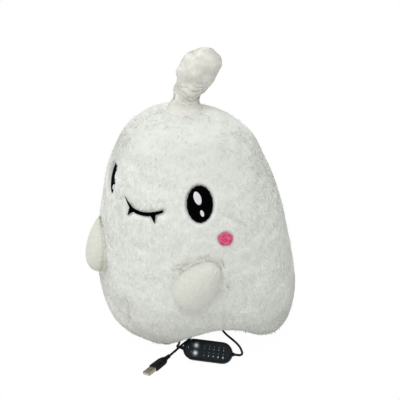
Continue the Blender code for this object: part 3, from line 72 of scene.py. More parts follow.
def fanTriangles(ring, middle, flip=False):
    # Closes a ring of corners onto one middle corner.
    ring = np.asarray(ring)
    after = np.roll(ring, -1)
    pair = (after, ring) if flip else (ring, after)
    return np.stack([pair[0], pair[1], np.full(len(ring), middle)], axis=-1)


def endCaps(count, last):
    # Closes the first and the last ring of corners onto the middle corners last and last + 1.
    return np.vstack([fanTriangles(np.arange(count), last, True),
                      fanTriangles(np.arange(last - count, last), last + 1)])


def addPiece(name, mesh, material, body="doll", smooth=True):
    piece = bpy.data.objects.new(name, mesh)
    bpy.context.scene.collection.objects.link(piece)
    mesh.materials.append(material)
    if smooth:
        mesh.shade_smooth()
    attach(piece, body)
    finished.append(piece)
    return piece


def setAttribute(mesh, name, values):
    attribute = mesh.attributes.new(name, "FLOAT", "POINT")
    attribute.data.foreach_set("value", np.asarray(values, np.float32).ravel())


def setUv(mesh, uv):
    # One place in the map for each corner of the mesh.
    layer = mesh.uv_layers.new(name="surface")
    corner = np.empty(len(mesh.loops), np.int32)
    mesh.loops.foreach_get("vertex_index", corner)
    layer.data.foreach_set("uv", np.asarray(uv, np.float32)[corner].ravel())


def unit(vectors):
    return vectors / np.maximum(np.linalg.norm(vectors, axis=-1, keepdims=True), 1e-12)


def walkedAlong(points):
    # Distance walked along a line of points, from 0 at its first.
    return np.concatenate([[0], np.cumsum(np.linalg.norm(np.diff(points, axis=0), axis=1))])


def squared(wave, power):
    # A superellipse's side: the wave's sign with its size to a power, so that a small power squares it.
    return np.sign(wave) * np.abs(wave) ** power


def smoothStep(value, low, high):
    share = np.clip((value - low) / (high - low), 0, 1)
    return share * share * (3 - 2 * share)


# Noise worked out on arrays

def hashed(cell, seed):
    # A number from 0 to 1 for each whole-numbered cell.
    mixed = (cell[..., 0] * 73856093) ^ (cell[..., 1] * 19349663) ^ (cell[..., 2] * 83492791) ^ (seed * 40503)
    mixed = mixed & 0x7FFFFFFF
    mixed = ((mixed ^ (mixed >> 15)) * 668265263) & 0x7FFFFFFF
    mixed = ((mixed ^ (mixed >> 13)) * 374761393) & 0x7FFFFFFF
    return ((mixed ^ (mixed >> 16)) & 0xFFFFF) / 0xFFFFF


def softNoise(points, size, seed):
    # Value noise, -1 to 1: cells as wide as size, blended by a smooth step between their corners.
    place = points / size
    cell = np.floor(place).astype(np.int64)
    share = place - cell
    share = share * share * (3 - 2 * share)
    total = 0
    for corner in np.ndindex(2, 2, 2):
        weight = np.prod(np.where(corner, share, 1 - share), axis=-1)
        total = total + weight * hashed(cell + np.array(corner), seed)
    return 2 * total - 1


def nearestTuft(points, size, seed):
    # The nearest of the points scattered one to a cell, and how far it is, in cells.
    cell = np.floor(points / size).astype(np.int64)
    best = np.full(len(points), 9.0)
    centre = np.zeros_like(points)
    for step in np.ndindex(3, 3, 3):
        near = cell + np.array(step) - 1
        jitter = np.stack([hashed(near, seed + k) for k in (1, 2, 3)], axis=-1)
        spot = (near + jitter) * size
        away = np.linalg.norm(points - spot, axis=-1) / size
        closer = away < best
        best[closer] = away[closer]
        centre[closer] = spot[closer]
    return centre, best


# Shader nodes

def addNode(tree, kind, inputs=None, **settings):
    node = tree.nodes.new(kind)
    for key, value in settings.items():
        setattr(node, key, value)
    for key, value in (inputs or {}).items():
        if isinstance(value, bpy.types.NodeSocket):
            tree.links.new(value, node.inputs[key])
        else:
            node.inputs[key].default_value = value
    return node


def rgb(red, green, blue):
    # A colour given as it looks on screen, 0 to 255, as the linear one that shaders take.
    seen = np.array([red, green, blue]) / 255
    linear = np.where(seen <= 0.04045, seen / 12.92, ((seen + 0.055) / 1.055) ** 2.4)
    return (*[float(v) for v in linear], 1.0)


def newGroup(name, inputs, outputs):
    group = bpy.data.node_groups.new(name, "ShaderNodeTree")
    for label, (kind, value) in inputs.items():
        made = group.interface.new_socket(name=label, in_out="INPUT", socket_type=kind)
        if value is not None:
            made.default_value = value
    for label, kind in outputs.items():
        group.interface.new_socket(name=label, in_out="OUTPUT", socket_type=kind)
    return group, group.nodes.new("NodeGroupInput"), group.nodes.new("NodeGroupOutput")


def mottleGroup():
    # Two tints mixed by a broad noise and a fine one on Object coordinates.
    group, given, out = newGroup("mottle", {"Low": ("NodeSocketColor", (0.5, 0.5, 0.5, 1)),
                                            "High": ("NodeSocketColor", (0.8, 0.8, 0.8, 1)),
                                            "Scale": ("NodeSocketFloat", 80.0),
                                            "Amount": ("NodeSocketFloat", 1.0)},
                                 {"Colour": "NodeSocketColor"})
    place = addNode(group, "ShaderNodeTexCoord").outputs["Object"]
    broad = addNode(group, "ShaderNodeTexNoise", {"Vector": place, "Scale": given.outputs["Scale"],
                                                   "Detail": 3.0, "Roughness": 0.6})
    fineScale = addNode(group, "ShaderNodeMath", {0: given.outputs["Scale"], 1: 6.0}, operation="MULTIPLY")
    fine = addNode(group, "ShaderNodeTexNoise",
                   {"Vector": place, "Scale": fineScale.outputs[0], "Detail": 2.0})
    both = addNode(group, "ShaderNodeMix", {0: 0.65, 2: broad.outputs["Fac"], 3: fine.outputs["Fac"]})
    spread = addNode(group, "ShaderNodeMapRange", {0: both.outputs[0], 1: 0.34, 2: 0.62, 3: 0.0, 4: 1.0})
    spared = addNode(group, "ShaderNodeMath", {0: spread.outputs[0], 1: 0.5}, operation="SUBTRACT")
    share = addNode(group, "ShaderNodeMath", {0: spared.outputs[0], 1: given.outputs["Amount"], 2: 0.5},
                    operation="MULTIPLY_ADD")
    mixed = addNode(group, "ShaderNodeMix",
                    {0: share.outputs[0], 6: given.outputs["High"], 7: given.outputs["Low"]},
                    data_type="RGBA")
    group.links.new(mixed.outputs[2], out.inputs["Colour"])
    return group


def fibreGroup():
    # Short hairs: noise drawn out along Z, as a height for Bump.
    group, given, out = newGroup("fibre",
                                 {"Scale": ("NodeSocketFloat", 300.0),
                                  "Stretch": ("NodeSocketFloat", 0.35)}, {"Height": "NodeSocketFloat"})
    place = addNode(group, "ShaderNodeTexCoord").outputs["Object"]
    shape = addNode(group, "ShaderNodeCombineXYZ", {0: 1.0, 1: 1.0, 2: given.outputs["Stretch"]})
    drawn = addNode(group, "ShaderNodeVectorMath", {0: place, 1: shape.outputs[0]}, operation="MULTIPLY")
    hair = addNode(group, "ShaderNodeTexNoise", {"Vector": drawn.outputs[0], "Scale": given.outputs["Scale"],
                                                  "Detail": 4.0, "Roughness": 0.65, "Distortion": 0.4})
    group.links.new(hair.outputs["Fac"], out.inputs["Height"])
    return group


def weaveGroup():
    # Two sets of threads that cross: a wave along each of two directions of the given vector.
    group, given, out = newGroup("weave", {"Vector": ("NodeSocketVector", None),
                                           "Scale": ("NodeSocketFloat", 800.0)},
                                 {"Height": "NodeSocketFloat"})
    waves = [addNode(group, "ShaderNodeTexWave",
                     {"Vector": given.outputs["Vector"], "Scale": given.outputs["Scale"],
                      "Distortion": 0.6, "Detail": 1.0}, bands_direction=axis) for axis in ("X", "Y")]
    over = addNode(group, "ShaderNodeMath", {0: waves[0].outputs["Fac"], 1: waves[1].outputs["Fac"]},
                   operation="MAXIMUM")
    group.links.new(over.outputs[0], out.inputs["Height"])
    return group


def wearGroup():
    # Rubbed and dusty patches: a mask from one noise.
    group, given, out = newGroup("wear",
                                 {"Scale": ("NodeSocketFloat", 60.0),
                                  "Strength": ("NodeSocketFloat", 0.5)}, {"Mask": "NodeSocketFloat"})
    place = addNode(group, "ShaderNodeTexCoord").outputs["Object"]
    patch = addNode(group, "ShaderNodeTexNoise",
                    {"Vector": place, "Scale": given.outputs["Scale"], "Detail": 5.0, "Roughness": 0.7})
    mask = addNode(group, "ShaderNodeMapRange", {0: patch.outputs["Fac"], 1: 0.45, 2: 0.75, 3: 0.0,
                                                 4: given.outputs["Strength"]})
    group.links.new(mask.outputs[0], out.inputs["Mask"])
    return group


mottle, fibre, weave, wear = mottleGroup(), fibreGroup(), weaveGroup(), wearGroup()


def startMaterial(name, roughness, metallic=0.0, **plain):
    material = bpy.data.materials.new(name)
    material.use_nodes = True
    tree = material.node_tree
    shader = tree.nodes["Principled BSDF"]
    shader.inputs["Roughness"].default_value = roughness
    shader.inputs["Metallic"].default_value = metallic
    for key, value in plain.items():
        shader.inputs[key.replace("_", " ")].default_value = value
    return material, tree, shader


def addBump(tree, shader, height, strength, distance):
    bump = addNode(tree, "ShaderNodeBump", {"Height": height, "Strength": strength, "Distance": distance})
    tree.links.new(bump.outputs["Normal"], shader.inputs["Normal"])


def placeGroup(tree, group, **values):
    # A group placed in a material with its own values; gives its one output.
    node = tree.nodes.new("ShaderNodeGroup")
    node.node_tree = group
    for label, value in values.items():
        if isinstance(value, bpy.types.NodeSocket):
            tree.links.new(value, node.inputs[label])
        else:
            node.inputs[label].default_value = value
    return node.outputs[0]


def objectPlace(tree):
    return addNode(tree, "ShaderNodeTexCoord").outputs["Object"]


# root is the painted-shade colour that low pile values mix in; seam is the tan of thread and of painted
# shade.
furLook = {"root": rgb(198, 200, 193), "shade": rgb(227, 230, 223), "tip": rgb(246, 248, 242),
           "roughness": 0.95, "seam": rgb(190, 184, 165), "sheen": 0.08, "mottleScale": 125.0,
           "hairScale": 520.0, "bump": 0.35}
creamFurLook = {**furLook, "root": rgb(206, 206, 197), "shade": rgb(217, 216, 208), "tip": rgb(234, 234, 227)}


def furMaterial(name, look):
    # Painted shade: low pile mixes in the darker root colour; mottling by busy; tan where seam is, for thread
    # and for painted shade in creases, under the hem and in the topknot's folds.
    material, tree, shader = startMaterial(name, look["roughness"], Sheen_Weight=look["sheen"],
                                           Sheen_Roughness=0.6, Specular_IOR_Level=0.1)
    pile, busy, seam = (addNode(tree, "ShaderNodeAttribute", attribute_name=label).outputs["Fac"]
                        for label in ("pile", "busy", "seam"))
    tint = placeGroup(tree, mottle, Low=look["shade"], High=look["tip"], Scale=look["mottleScale"],
                      Amount=busy)
    colour = addNode(tree, "ShaderNodeMix", {0: pile, 6: look["root"], 7: tint}, data_type="RGBA")
    sewn = addNode(tree, "ShaderNodeMix", {0: seam, 6: colour.outputs[2], 7: look["seam"]}, data_type="RGBA")
    tree.links.new(sewn.outputs[2], shader.inputs["Base Color"])
    addBump(tree, shader, placeGroup(tree, fibre, Scale=look["hairScale"]), look["bump"], 0.0009)
    return material


velboaLook = {"low": rgb(207, 208, 198), "high": rgb(220, 221, 212), "seam": rgb(176, 168, 142),
              "scale": 45.0, "amount": 0.8, "knit": 620.0}


def velboaMaterial():
    # Short cream nap: soft mottling, sheen, and a fine knitted grain.
    material, tree, shader = startMaterial("creamVelboa", 0.9, Sheen_Weight=0.08, Sheen_Roughness=0.5,
                                           Specular_IOR_Level=0.1)
    tint = placeGroup(tree, mottle, Low=velboaLook["low"], High=velboaLook["high"], Scale=velboaLook["scale"],
                      Amount=velboaLook["amount"])
    seam = addNode(tree, "ShaderNodeAttribute", attribute_name="seam").outputs["Fac"]
    sewn = addNode(tree, "ShaderNodeMix", {0: seam, 6: tint, 7: velboaLook["seam"]}, data_type="RGBA")
    tree.links.new(sewn.outputs[2], shader.inputs["Base Color"])
    addBump(tree, shader, placeGroup(tree, weave, Vector=objectPlace(tree), Scale=velboaLook["knit"]),
            0.22, 0.0004)
    return material


def threadMaterial(name, low, high, stitch, gloss, specular=0.1, byCurl=False):
    # Satin stitch: fine parallel threads along the piece's own map, with painted shade where the threads dip,
    # or tones that follow a curled thread, painted shade and light along its coils.
    material, tree, shader = startMaterial(name, gloss, Specular_IOR_Level=specular)
    place = addNode(tree, "ShaderNodeUVMap", uv_map="surface").outputs["UV"]
    threads = addNode(tree, "ShaderNodeTexWave",
                      {"Vector": place, "Scale": stitch, "Distortion": 1.2, "Detail": 2.0,
                       "Detail Scale": 2.0}, bands_direction="X").outputs["Fac"]
    share = threads
    if byCurl:
        curl = addNode(tree, "ShaderNodeAttribute", attribute_name="curl").outputs["Fac"]
        share = addNode(tree, "ShaderNodeMix", {0: 0.75, 2: threads, 3: curl}).outputs[0]
    colour = addNode(tree, "ShaderNodeMix", {0: share, 6: low, 7: high}, data_type="RGBA")
    tree.links.new(colour.outputs[2], shader.inputs["Base Color"])
    addBump(tree, shader, threads, 0.35, 0.0003)
    return material


# How each hard finish and hidden cloth looks; grain is its bump: fine noise, brushed lines, a weave or fibres
finishes = {
    "case_black": {"low": rgb(3, 4, 5), "high": rgb(9, 11, 13), "scale": 140.0,
        "rough": (0.50, 0.66), "worn": rgb(20, 22, 24), "specular": 0.10, "grain": ("noise", 2400.0, 0.16)},
    "overlay_film": {"low": rgb(11, 18, 22), "high": rgb(20, 31, 37), "scale": 26.0,
        "rough": (0.46, 0.60), "worn": rgb(26, 36, 41), "specular": 0.10, "grain": ("noise", 1500.0, 0.05)},
    "light_guide": {"low": rgb(200, 208, 214), "high": rgb(226, 232, 238), "scale": 90.0,
        "rough": (0.18, 0.3), "worn": rgb(180, 190, 196), "grain": ("noise", 600.0, 0.03)},
    "circuit_board": {"low": rgb(22, 92, 46), "high": rgb(34, 122, 62), "scale": 220.0,
        "rough": (0.38, 0.55), "worn": rgb(150, 132, 70), "grain": ("weave", 900.0, 0.10)},
    "switch_body": {"low": rgb(26, 26, 27), "high": rgb(40, 40, 42), "scale": 300.0,
        "rough": (0.45, 0.6), "worn": rgb(60, 60, 62), "grain": ("noise", 2600.0, 0.12)},
    "screw_steel": {"low": rgb(160, 160, 162), "high": rgb(196, 196, 198), "scale": 400.0,
        "rough": (0.25, 0.45), "metal": 1.0, "worn": rgb(120, 118, 114), "grain": ("brush", 2600.0, 0.12)},
    "plug_nickel": {"low": rgb(150, 141, 124), "high": rgb(178, 170, 154), "scale": 160.0,
        "rough": (0.30, 0.48), "metal": 0.75, "worn": rgb(120, 110, 92), "grain": ("brush", 1900.0, 0.10)},
    "plug_insulator": {"low": rgb(214, 214, 208), "high": rgb(232, 232, 228), "scale": 200.0,
        "rough": (0.4, 0.55), "worn": rgb(196, 194, 186), "grain": ("noise", 2000.0, 0.06)},
    "contact_gold": {"low": rgb(206, 164, 84), "high": rgb(232, 196, 118), "scale": 500.0,
        "rough": (0.22, 0.4), "metal": 1.0, "worn": rgb(170, 130, 70), "grain": ("brush", 3000.0, 0.10)},
    "zip_resin": {"low": rgb(222, 222, 218), "high": rgb(238, 238, 234), "scale": 160.0,
        "rough": (0.32, 0.48), "worn": rgb(204, 202, 194), "grain": ("noise", 1800.0, 0.06)},
    "zip_tape": {"low": rgb(214, 214, 209), "high": rgb(232, 232, 228), "scale": 120.0,
        "rough": (0.85, 0.95), "worn": rgb(198, 197, 190), "grain": ("weave", 1500.0, 0.40)},
    "zip_metal": {"low": rgb(176, 177, 180), "high": rgb(208, 209, 211), "scale": 260.0,
        "rough": (0.24, 0.42), "metal": 1.0, "worn": rgb(140, 138, 134), "grain": ("brush", 1800.0, 0.10)},
    "filling": {"low": rgb(232, 232, 230), "high": rgb(246, 246, 244), "scale": 40.0,
        "rough": (0.95, 1.0), "worn": rgb(224, 223, 218), "grain": ("fibre", 240.0, 0.80)},
    "heater_cloth": {"low": rgb(182, 182, 176), "high": rgb(204, 204, 198), "scale": 60.0,
        "rough": (0.85, 0.95), "worn": rgb(170, 168, 160), "grain": ("weave", 900.0, 0.45)},
    "heater_film": {"low": rgb(34, 34, 36), "high": rgb(52, 52, 54), "scale": 80.0,
        "rough": (0.5, 0.65), "worn": rgb(66, 66, 66), "grain": ("weave", 500.0, 0.20)},
    "carbon_wire": {"low": rgb(132, 36, 30), "high": rgb(164, 52, 42), "scale": 300.0,
        "rough": (0.45, 0.6), "worn": rgb(112, 34, 30), "grain": ("noise", 1600.0, 0.08)},
    "cutout_case": {"low": rgb(206, 203, 192), "high": rgb(226, 223, 212), "scale": 260.0,
        "rough": (0.35, 0.5), "worn": rgb(186, 182, 170), "grain": ("noise", 2200.0, 0.10)},
}


def plainFinish(name, look):
    # Two tones, rubbed patches that are duller, and a grain.
    material, tree, shader = startMaterial(name + "_finish", look["rough"][0], look.get("metal", 0.0),
                                           Specular_IOR_Level=look.get("specular", 0.4))
    tint = placeGroup(tree, mottle, Low=look["low"], High=look["high"], Scale=look["scale"])
    rubbed = placeGroup(tree, wear, Scale=look["scale"] * 0.8, Strength=0.45)
    colour = addNode(tree, "ShaderNodeMix", {0: rubbed, 6: tint, 7: look["worn"]}, data_type="RGBA")
    tree.links.new(colour.outputs[2], shader.inputs["Base Color"])
    rough = addNode(tree, "ShaderNodeMapRange",
                    {0: rubbed, 1: 0.0, 2: 0.45, 3: look["rough"][0], 4: look["rough"][1]})
    tree.links.new(rough.outputs[0], shader.inputs["Roughness"])
    kind, scale, strength = look["grain"]
    if kind == "weave":
        height = placeGroup(tree, weave, Vector=objectPlace(tree), Scale=scale)
    elif kind == "noise":
        height = addNode(tree, "ShaderNodeTexNoise",
                         {"Vector": objectPlace(tree), "Scale": scale}).outputs["Fac"]
    else:
        height = placeGroup(tree, fibre, Scale=scale, Stretch=0.04 if kind == "brush" else 0.35)
    addBump(tree, shader, height, strength, 0.0003)
    return material


def finishMaterial(name):
    # The finish of that name, made when it is first asked for.
    if name not in madeFinishes:
        madeFinishes[name] = plainFinish(name, finishes[name])
    return madeFinishes[name]


madeFinishes = {}
buttonCentres = {"timer_button": (-0.0160, 0.0051), "heat_button": (-0.0160, -0.0051)}


def buttonMaterial(name, place):
    # Painted highlight: bright in the middle and dark towards the rim, standing in for the button's
    # reflection, by distance from the button's axis on Object coordinates.
    centre = inFrame(controllerFrame, np.array([[*place, 0.006]]))[0]
    axis = np.array(controllerFrame.to_3x3() @ Vector((0, 0, 1)))
    material, tree, shader = startMaterial(name + "_finish", 0.5, 0.0, Specular_IOR_Level=0.2)
    away = addNode(tree, "ShaderNodeVectorMath", {0: objectPlace(tree), 1: tuple(centre)},
                   operation="SUBTRACT")
    along = addNode(tree, "ShaderNodeVectorMath", {0: away.outputs[0], 1: tuple(axis)},
                    operation="DOT_PRODUCT")
    drop = addNode(tree, "ShaderNodeVectorMath",
                   {0: tuple(axis), "Scale": along.outputs["Value"]}, operation="SCALE")
    flat = addNode(tree, "ShaderNodeVectorMath", {0: away.outputs[0], 1: drop.outputs[0]},
                   operation="SUBTRACT")
    radius = addNode(tree, "ShaderNodeVectorMath", {0: flat.outputs[0]}, operation="LENGTH").outputs["Value"]
    share = addNode(tree, "ShaderNodeMapRange", {0: radius, 1: 0.0012, 2: 0.0031, 3: 0.0, 4: 1.0})
    paintedHighlight = placeGroup(tree, mottle, Low=rgb(204, 212, 220), High=rgb(224, 231, 238), Scale=500.0)
    colour = addNode(tree, "ShaderNodeMix", {0: share.outputs[0], 6: paintedHighlight, 7: rgb(92, 98, 104)},
                     data_type="RGBA")
    tree.links.new(colour.outputs[2], shader.inputs["Base Color"])
    turned = addNode(tree, "ShaderNodeMath", {0: radius, 1: 9000.0}, operation="MULTIPLY")
    rings = addNode(tree, "ShaderNodeMath", {0: turned.outputs[0]}, operation="SINE")
    addBump(tree, shader, rings.outputs[0], 0.10, 0.0001)
    return material


def inkMaterial(name, low, high):
    # Printed ink, fainter where shine is lower.
    material, tree, shader = startMaterial(name, 0.5, Specular_IOR_Level=0.1)
    tint = placeGroup(tree, mottle, Low=low, High=high, Scale=420.0)
    shine = addNode(tree, "ShaderNodeAttribute", attribute_name="shine").outputs["Fac"]
    colour = addNode(tree, "ShaderNodeMix", {0: shine, 6: rgb(18, 27, 32), 7: tint}, data_type="RGBA")
    tree.links.new(colour.outputs[2], shader.inputs["Base Color"])
    return material


def wovenMaterial(name, low, high, scale, strength):
    # Threads that cross along the piece's own map, with painted shade: the colour is darker where the weave
    # is low.
    material, tree, shader = startMaterial(name, 0.9, Specular_IOR_Level=0.15)
    place = addNode(tree, "ShaderNodeUVMap", uv_map="surface").outputs["UV"]
    height = placeGroup(tree, weave, Vector=place, Scale=scale)
    tint = placeGroup(tree, mottle, Low=low, High=high, Scale=70.0)
    deep = addNode(tree, "ShaderNodeMix", {0: height, 6: low, 7: tint}, data_type="RGBA")
    tree.links.new(deep.outputs[2], shader.inputs["Base Color"])
    addBump(tree, shader, height, strength, 0.0004)
    return material


whiteFur, creamFur = furMaterial("whiteFur", furLook), furMaterial("creamFur", creamFurLook)
creamVelboa = velboaMaterial()
blackThread = threadMaterial("blackThread", rgb(0, 0, 1), rgb(5, 5, 7), 260.0, 0.9, 0.02)
whiteThread = threadMaterial("whiteThread", rgb(214, 215, 217), rgb(244, 244, 246), 260.0, 0.7)
paleThread = threadMaterial("paleThread", rgb(206, 206, 202), rgb(232, 232, 229), 260.0, 0.7)
pinkThread = threadMaterial("pinkThread", rgb(186, 44, 94), rgb(252, 124, 168), 200.0, 0.8, byCurl=True)
markInk = inkMaterial("markInk", rgb(186, 194, 200), rgb(214, 222, 228))
ringInk = inkMaterial("ringInk", rgb(58, 64, 68), rgb(78, 84, 89))
baseWeave = wovenMaterial("baseWeave", rgb(206, 206, 200), rgb(232, 232, 227), 1500.0, 0.5)
strapCloth = wovenMaterial("strapCloth", rgb(14, 14, 15), rgb(34, 34, 36), 2200.0, 0.6)


# Camera, light and floor

studio = {"azimuth": 33.55, "elevation": 27.03, "distance": 0.9275,
          "target": (0.0053, 0.0069, 0.1784), "lens": 58.2, "world": 0.618,
          "lamps": {"key": (10, 60, 1.5, 1.1, 9.6), "left": (-60, 35, 1.6, 1.2, 3.2),
                    "back": (180, 60, 1.6, 1.2, 4.5)}}


def awayFrom(azimuth, elevation):
    # Unit vector towards a viewer at that azimuth from the front and that elevation.
    a, e = math.radians(azimuth), math.radians(elevation)
    return Vector((math.sin(a) * math.cos(e), -math.cos(a) * math.cos(e), math.sin(e)))


def makeCamera():
    camera = bpy.data.objects.new("photo_camera", bpy.data.cameras.new("photo_camera"))
    bpy.context.scene.collection.objects.link(camera)
    back = awayFrom(studio["azimuth"], studio["elevation"])
    camera.location = Vector(studio["target"]) + back * studio["distance"]
    camera.rotation_euler = (-back).to_track_quat("-Z", "Y").to_euler()
    camera.data.lens = studio["lens"]
    camera.data.sensor_width = 36
    camera.data.clip_start, camera.data.clip_end = 0.05, 20
    bpy.context.scene.camera = camera


def softLamp(name, azimuth, elevation, distance, size, power):
    lamp = bpy.data.objects.new(name, bpy.data.lights.new(name, "AREA"))
    bpy.context.scene.collection.objects.link(lamp)
    lamp.data.shape = "DISK"
    lamp.data.size = size
    lamp.data.energy = power
    towards = awayFrom(azimuth, elevation)
    lamp.location = Vector((0, 0, 0.18)) + towards * distance
    lamp.rotation_euler = (-towards).to_track_quat("-Z", "Y").to_euler()


def seenRays(tree):
    # 1 for rays that see the backdrop itself: from the camera, or by reflection or through glass.
    path = tree.nodes.new("ShaderNodeLightPath")
    first = addNode(tree, "ShaderNodeMath",
                    {0: path.outputs["Is Camera Ray"], 1: path.outputs["Is Glossy Ray"]},
                    operation="MAXIMUM")
    return addNode(tree, "ShaderNodeMath", {0: first.outputs[0], 1: path.outputs["Is Transmission Ray"]},
                   operation="MAXIMUM").outputs[0]


def makeStudio():
    world = bpy.data.worlds.new("studio")
    bpy.context.scene.world = world
    world.use_nodes = True
    tree = world.node_tree
    tree.nodes.clear()
    plain = addNode(tree, "ShaderNodeBackground", {"Color": (1, 1, 1, 1), "Strength": studio["world"]})
    white = addNode(tree, "ShaderNodeBackground", {"Color": (1, 1, 1, 1), "Strength": 1.0})
    mixed = addNode(tree, "ShaderNodeMixShader",
                    {0: seenRays(tree), 1: plain.outputs[0], 2: white.outputs[0]})
    out = tree.nodes.new("ShaderNodeOutputWorld")
    tree.links.new(mixed.outputs[0], out.inputs["Surface"])

    floorMaterial = bpy.data.materials.new("paleFloor")
    floorMaterial.use_nodes = True
    tree = floorMaterial.node_tree
    tree.nodes.clear()
    matte = addNode(tree, "ShaderNodeBsdfDiffuse", {"Color": (0.88, 0.88, 0.88, 1)})
    glow = addNode(tree, "ShaderNodeEmission", {"Color": (1, 1, 1, 1), "Strength": 1.0})
    seen = seenRays(tree)
    place = addNode(tree, "ShaderNodeTexCoord").outputs["Object"]
    far = addNode(tree, "ShaderNodeVectorMath", {0: place}, operation="LENGTH")
    fade = addNode(tree, "ShaderNodeMapRange", {0: far.outputs["Value"], 1: 0.05, 2: 0.20, 3: 0.97, 4: 1.0})
    share = addNode(tree, "ShaderNodeMath", {0: seen, 1: fade.outputs[0]}, operation="MULTIPLY")
    mixed = addNode(tree, "ShaderNodeMixShader",
                    {0: share.outputs[0], 1: matte.outputs[0], 2: glow.outputs[0]})
    out = tree.nodes.new("ShaderNodeOutputMaterial")
    tree.links.new(mixed.outputs[0], out.inputs["Surface"])
    half = 3.0
    mesh = meshFrom("floor", [(-half, -half, 0), (half, -half, 0), (half, half, 0), (-half, half, 0)],
                    [(0, 1, 2, 3)])
    floor = bpy.data.objects.new("floor", mesh)
    bpy.context.scene.collection.objects.link(floor)
    mesh.materials.append(floorMaterial)

    for name, lamp in studio["lamps"].items():
        softLamp(name, *lamp)
    bpy.context.scene.view_settings.view_transform = "Standard"


makeCamera()
makeStudio()
print("camera and studio ready")


# Where the controller and the plug lie

setBack = 0.0069
controller = {"centre": (0.0876, -0.1044, 0.0138), "heading": 22.5, "tilt": 42.0, "length": 0.068,
              "parting": 0.0005, "reliefNose": 0.0033}
plug = {"cordPoint": (0.0433, -0.1326), "heading": -95.7, "roll": 18.0, "bootWidth": 0.0146,
        "bootThickness": 0.0080, "rounding": 0.0022}
controllerFrame = (Matrix.Translation(controller["centre"])
                   @ Matrix.Rotation(math.radians(controller["heading"]), 4, "Z")
                   @ Matrix.Rotation(math.radians(controller["tilt"]), 4, "X"))
plugRoll = math.radians(plug["roll"])
plugHeight = (0.0001 + plug["rounding"] + (plug["bootThickness"] / 2 - plug["rounding"]) * math.cos(plugRoll)
              + (plug["bootWidth"] / 2 - plug["rounding"]) * math.sin(plugRoll))
plugFrame = (Matrix.Translation((*plug["cordPoint"], plugHeight))
             @ Matrix.Rotation(math.radians(plug["heading"]), 4, "Z") @ Matrix.Rotation(plugRoll, 4, "X"))


def inFrame(matrix, points):
    # Points given in a frame, moved to where it lies and set back with the doll.
    turned = np.asarray(points) @ np.array(matrix.to_3x3()).T + np.array(matrix.translation)
    return turned + np.array([0, setBack, 0])


# The leads

lead = {"diameter": 0.0032, "spacing": 0.0012, "sides": 14, "gap": 0.0003, "tieThickness": 0.0006,
        "tieGap": 0.0003, "floorGap": 0.0001, "coilCentre": (-0.104, 0.140), "coilInner": 0.0121,
        "turnGap": 0.0006, "turnsIn": 3.0, "turnsOut": 2.75, "gland": (0.062, 0.024, 0.0167)}
heaterRoute = [(0.1280, -0.0872, 0.0138), (0.1286, -0.0834, 0.0128), (0.1270, -0.0790, 0.0114),
               (0.1240, -0.0750, 0.0099), (0.1182, -0.0678, 0.0070), (0.1102, -0.0605, 0.0044),
               (0.1011, -0.0547, 0.0026), (0.0901, -0.0500, 0.0018), (0.0802, -0.0460, 0.0017),
               (0.0710, -0.0400, 0.0017), (0.0645, -0.0290, 0.0017), (0.0615, -0.0140, 0.0017),
               (0.0608, 0.0010, 0.0017), (0.0612, 0.0110, 0.0023), (0.0617, 0.0175, 0.0046),
               (0.0620, 0.0218, 0.0088)]
coilRoute = [(0.0466, -0.1190, 0.0134), (0.0438, -0.1130, 0.0108), (0.0408, -0.1068, 0.0076),
             (0.0372, -0.1008, 0.0048), (0.0332, -0.0948, 0.0028), (0.0290, -0.0860, 0.0018),
             (0.0232, -0.0720, 0.0017), (0.0168, -0.0560, 0.0017), (0.0080, -0.0365, 0.0017),
             (-0.0035, -0.0160, 0.0017), (-0.0150, 0.0030, 0.0017), (-0.0280, 0.0250, 0.0017),
             (-0.0430, 0.0470, 0.0017), (-0.0570, 0.0700, 0.0017), (-0.0690, 0.0920, 0.0018),
             (-0.0765, 0.1120, 0.0022), (-0.0802, 0.1270, 0.0025)]
plugRoute = [(-0.0960, 0.1176, 0.0064), (-0.0860, 0.1174, 0.0067), (-0.0760, 0.1160, 0.0064),
             (-0.0660, 0.1120, 0.0046), (-0.0580, 0.1040, 0.0027), (-0.0520, 0.0920, 0.0018),
             (-0.0450, 0.0760, 0.0017), (-0.0360, 0.0590, 0.0017), (-0.0220, 0.0360, 0.0017),
             (-0.0060, 0.0130, 0.0017), (0.0100, -0.0090, 0.0017), (0.0240, -0.0320, 0.0017),
             (0.0345, -0.0540, 0.0017), (0.0410, -0.0720, 0.0017), (0.0430, -0.0850, 0.0017),
             (0.0424, -0.0970, 0.0017), (0.0415, -0.1070, 0.0017), (0.0418, -0.1160, 0.0022),
             (0.0427, -0.1235, 0.0040)]


def evenRoute(points, spacing):
    # A Catmull-Rom curve through the points, walked in equal steps.
    chosen = np.array(points)
    padded = np.vstack([2 * chosen[0] - chosen[1], chosen, 2 * chosen[-1] - chosen[-2]])
    share = np.linspace(0, 1, 20, endpoint=False)[None, :, None]
    a, b, c, d = (padded[k:len(padded) - 3 + k, None] for k in range(4))
    fine = (b + 0.5 * share * (c - a + share * (2 * a - 5 * b + 4 * c - d + share * (3 * (b - c) + d - a))))
    fine = np.vstack([fine.reshape(-1, 3), chosen[-1:]])
    along = walkedAlong(fine)
    stops = np.linspace(0, along[-1], max(2, round(along[-1] / spacing) + 1))
    return np.stack([np.interp(stops, along, fine[:, k]) for k in range(3)], axis=-1)


def lengthOf(points):
    return float(np.linalg.norm(np.diff(points, axis=0), axis=1).sum())


def carriedFrames(path):
    # Two directions across a path at each of its points, carried along it without twisting.
    along = unit(np.gradient(path, axis=0))
    across = np.zeros_like(path)
    first = np.cross(along[0], (0, 0, 1) if abs(along[0][2]) < 0.9 else (1, 0, 0))
    across[0] = unit(first)
    for k in range(1, len(path)):
        step = across[k - 1] - along[k] * np.dot(across[k - 1], along[k])
        across[k] = step / np.linalg.norm(step)
    return along, across, np.cross(along, across)


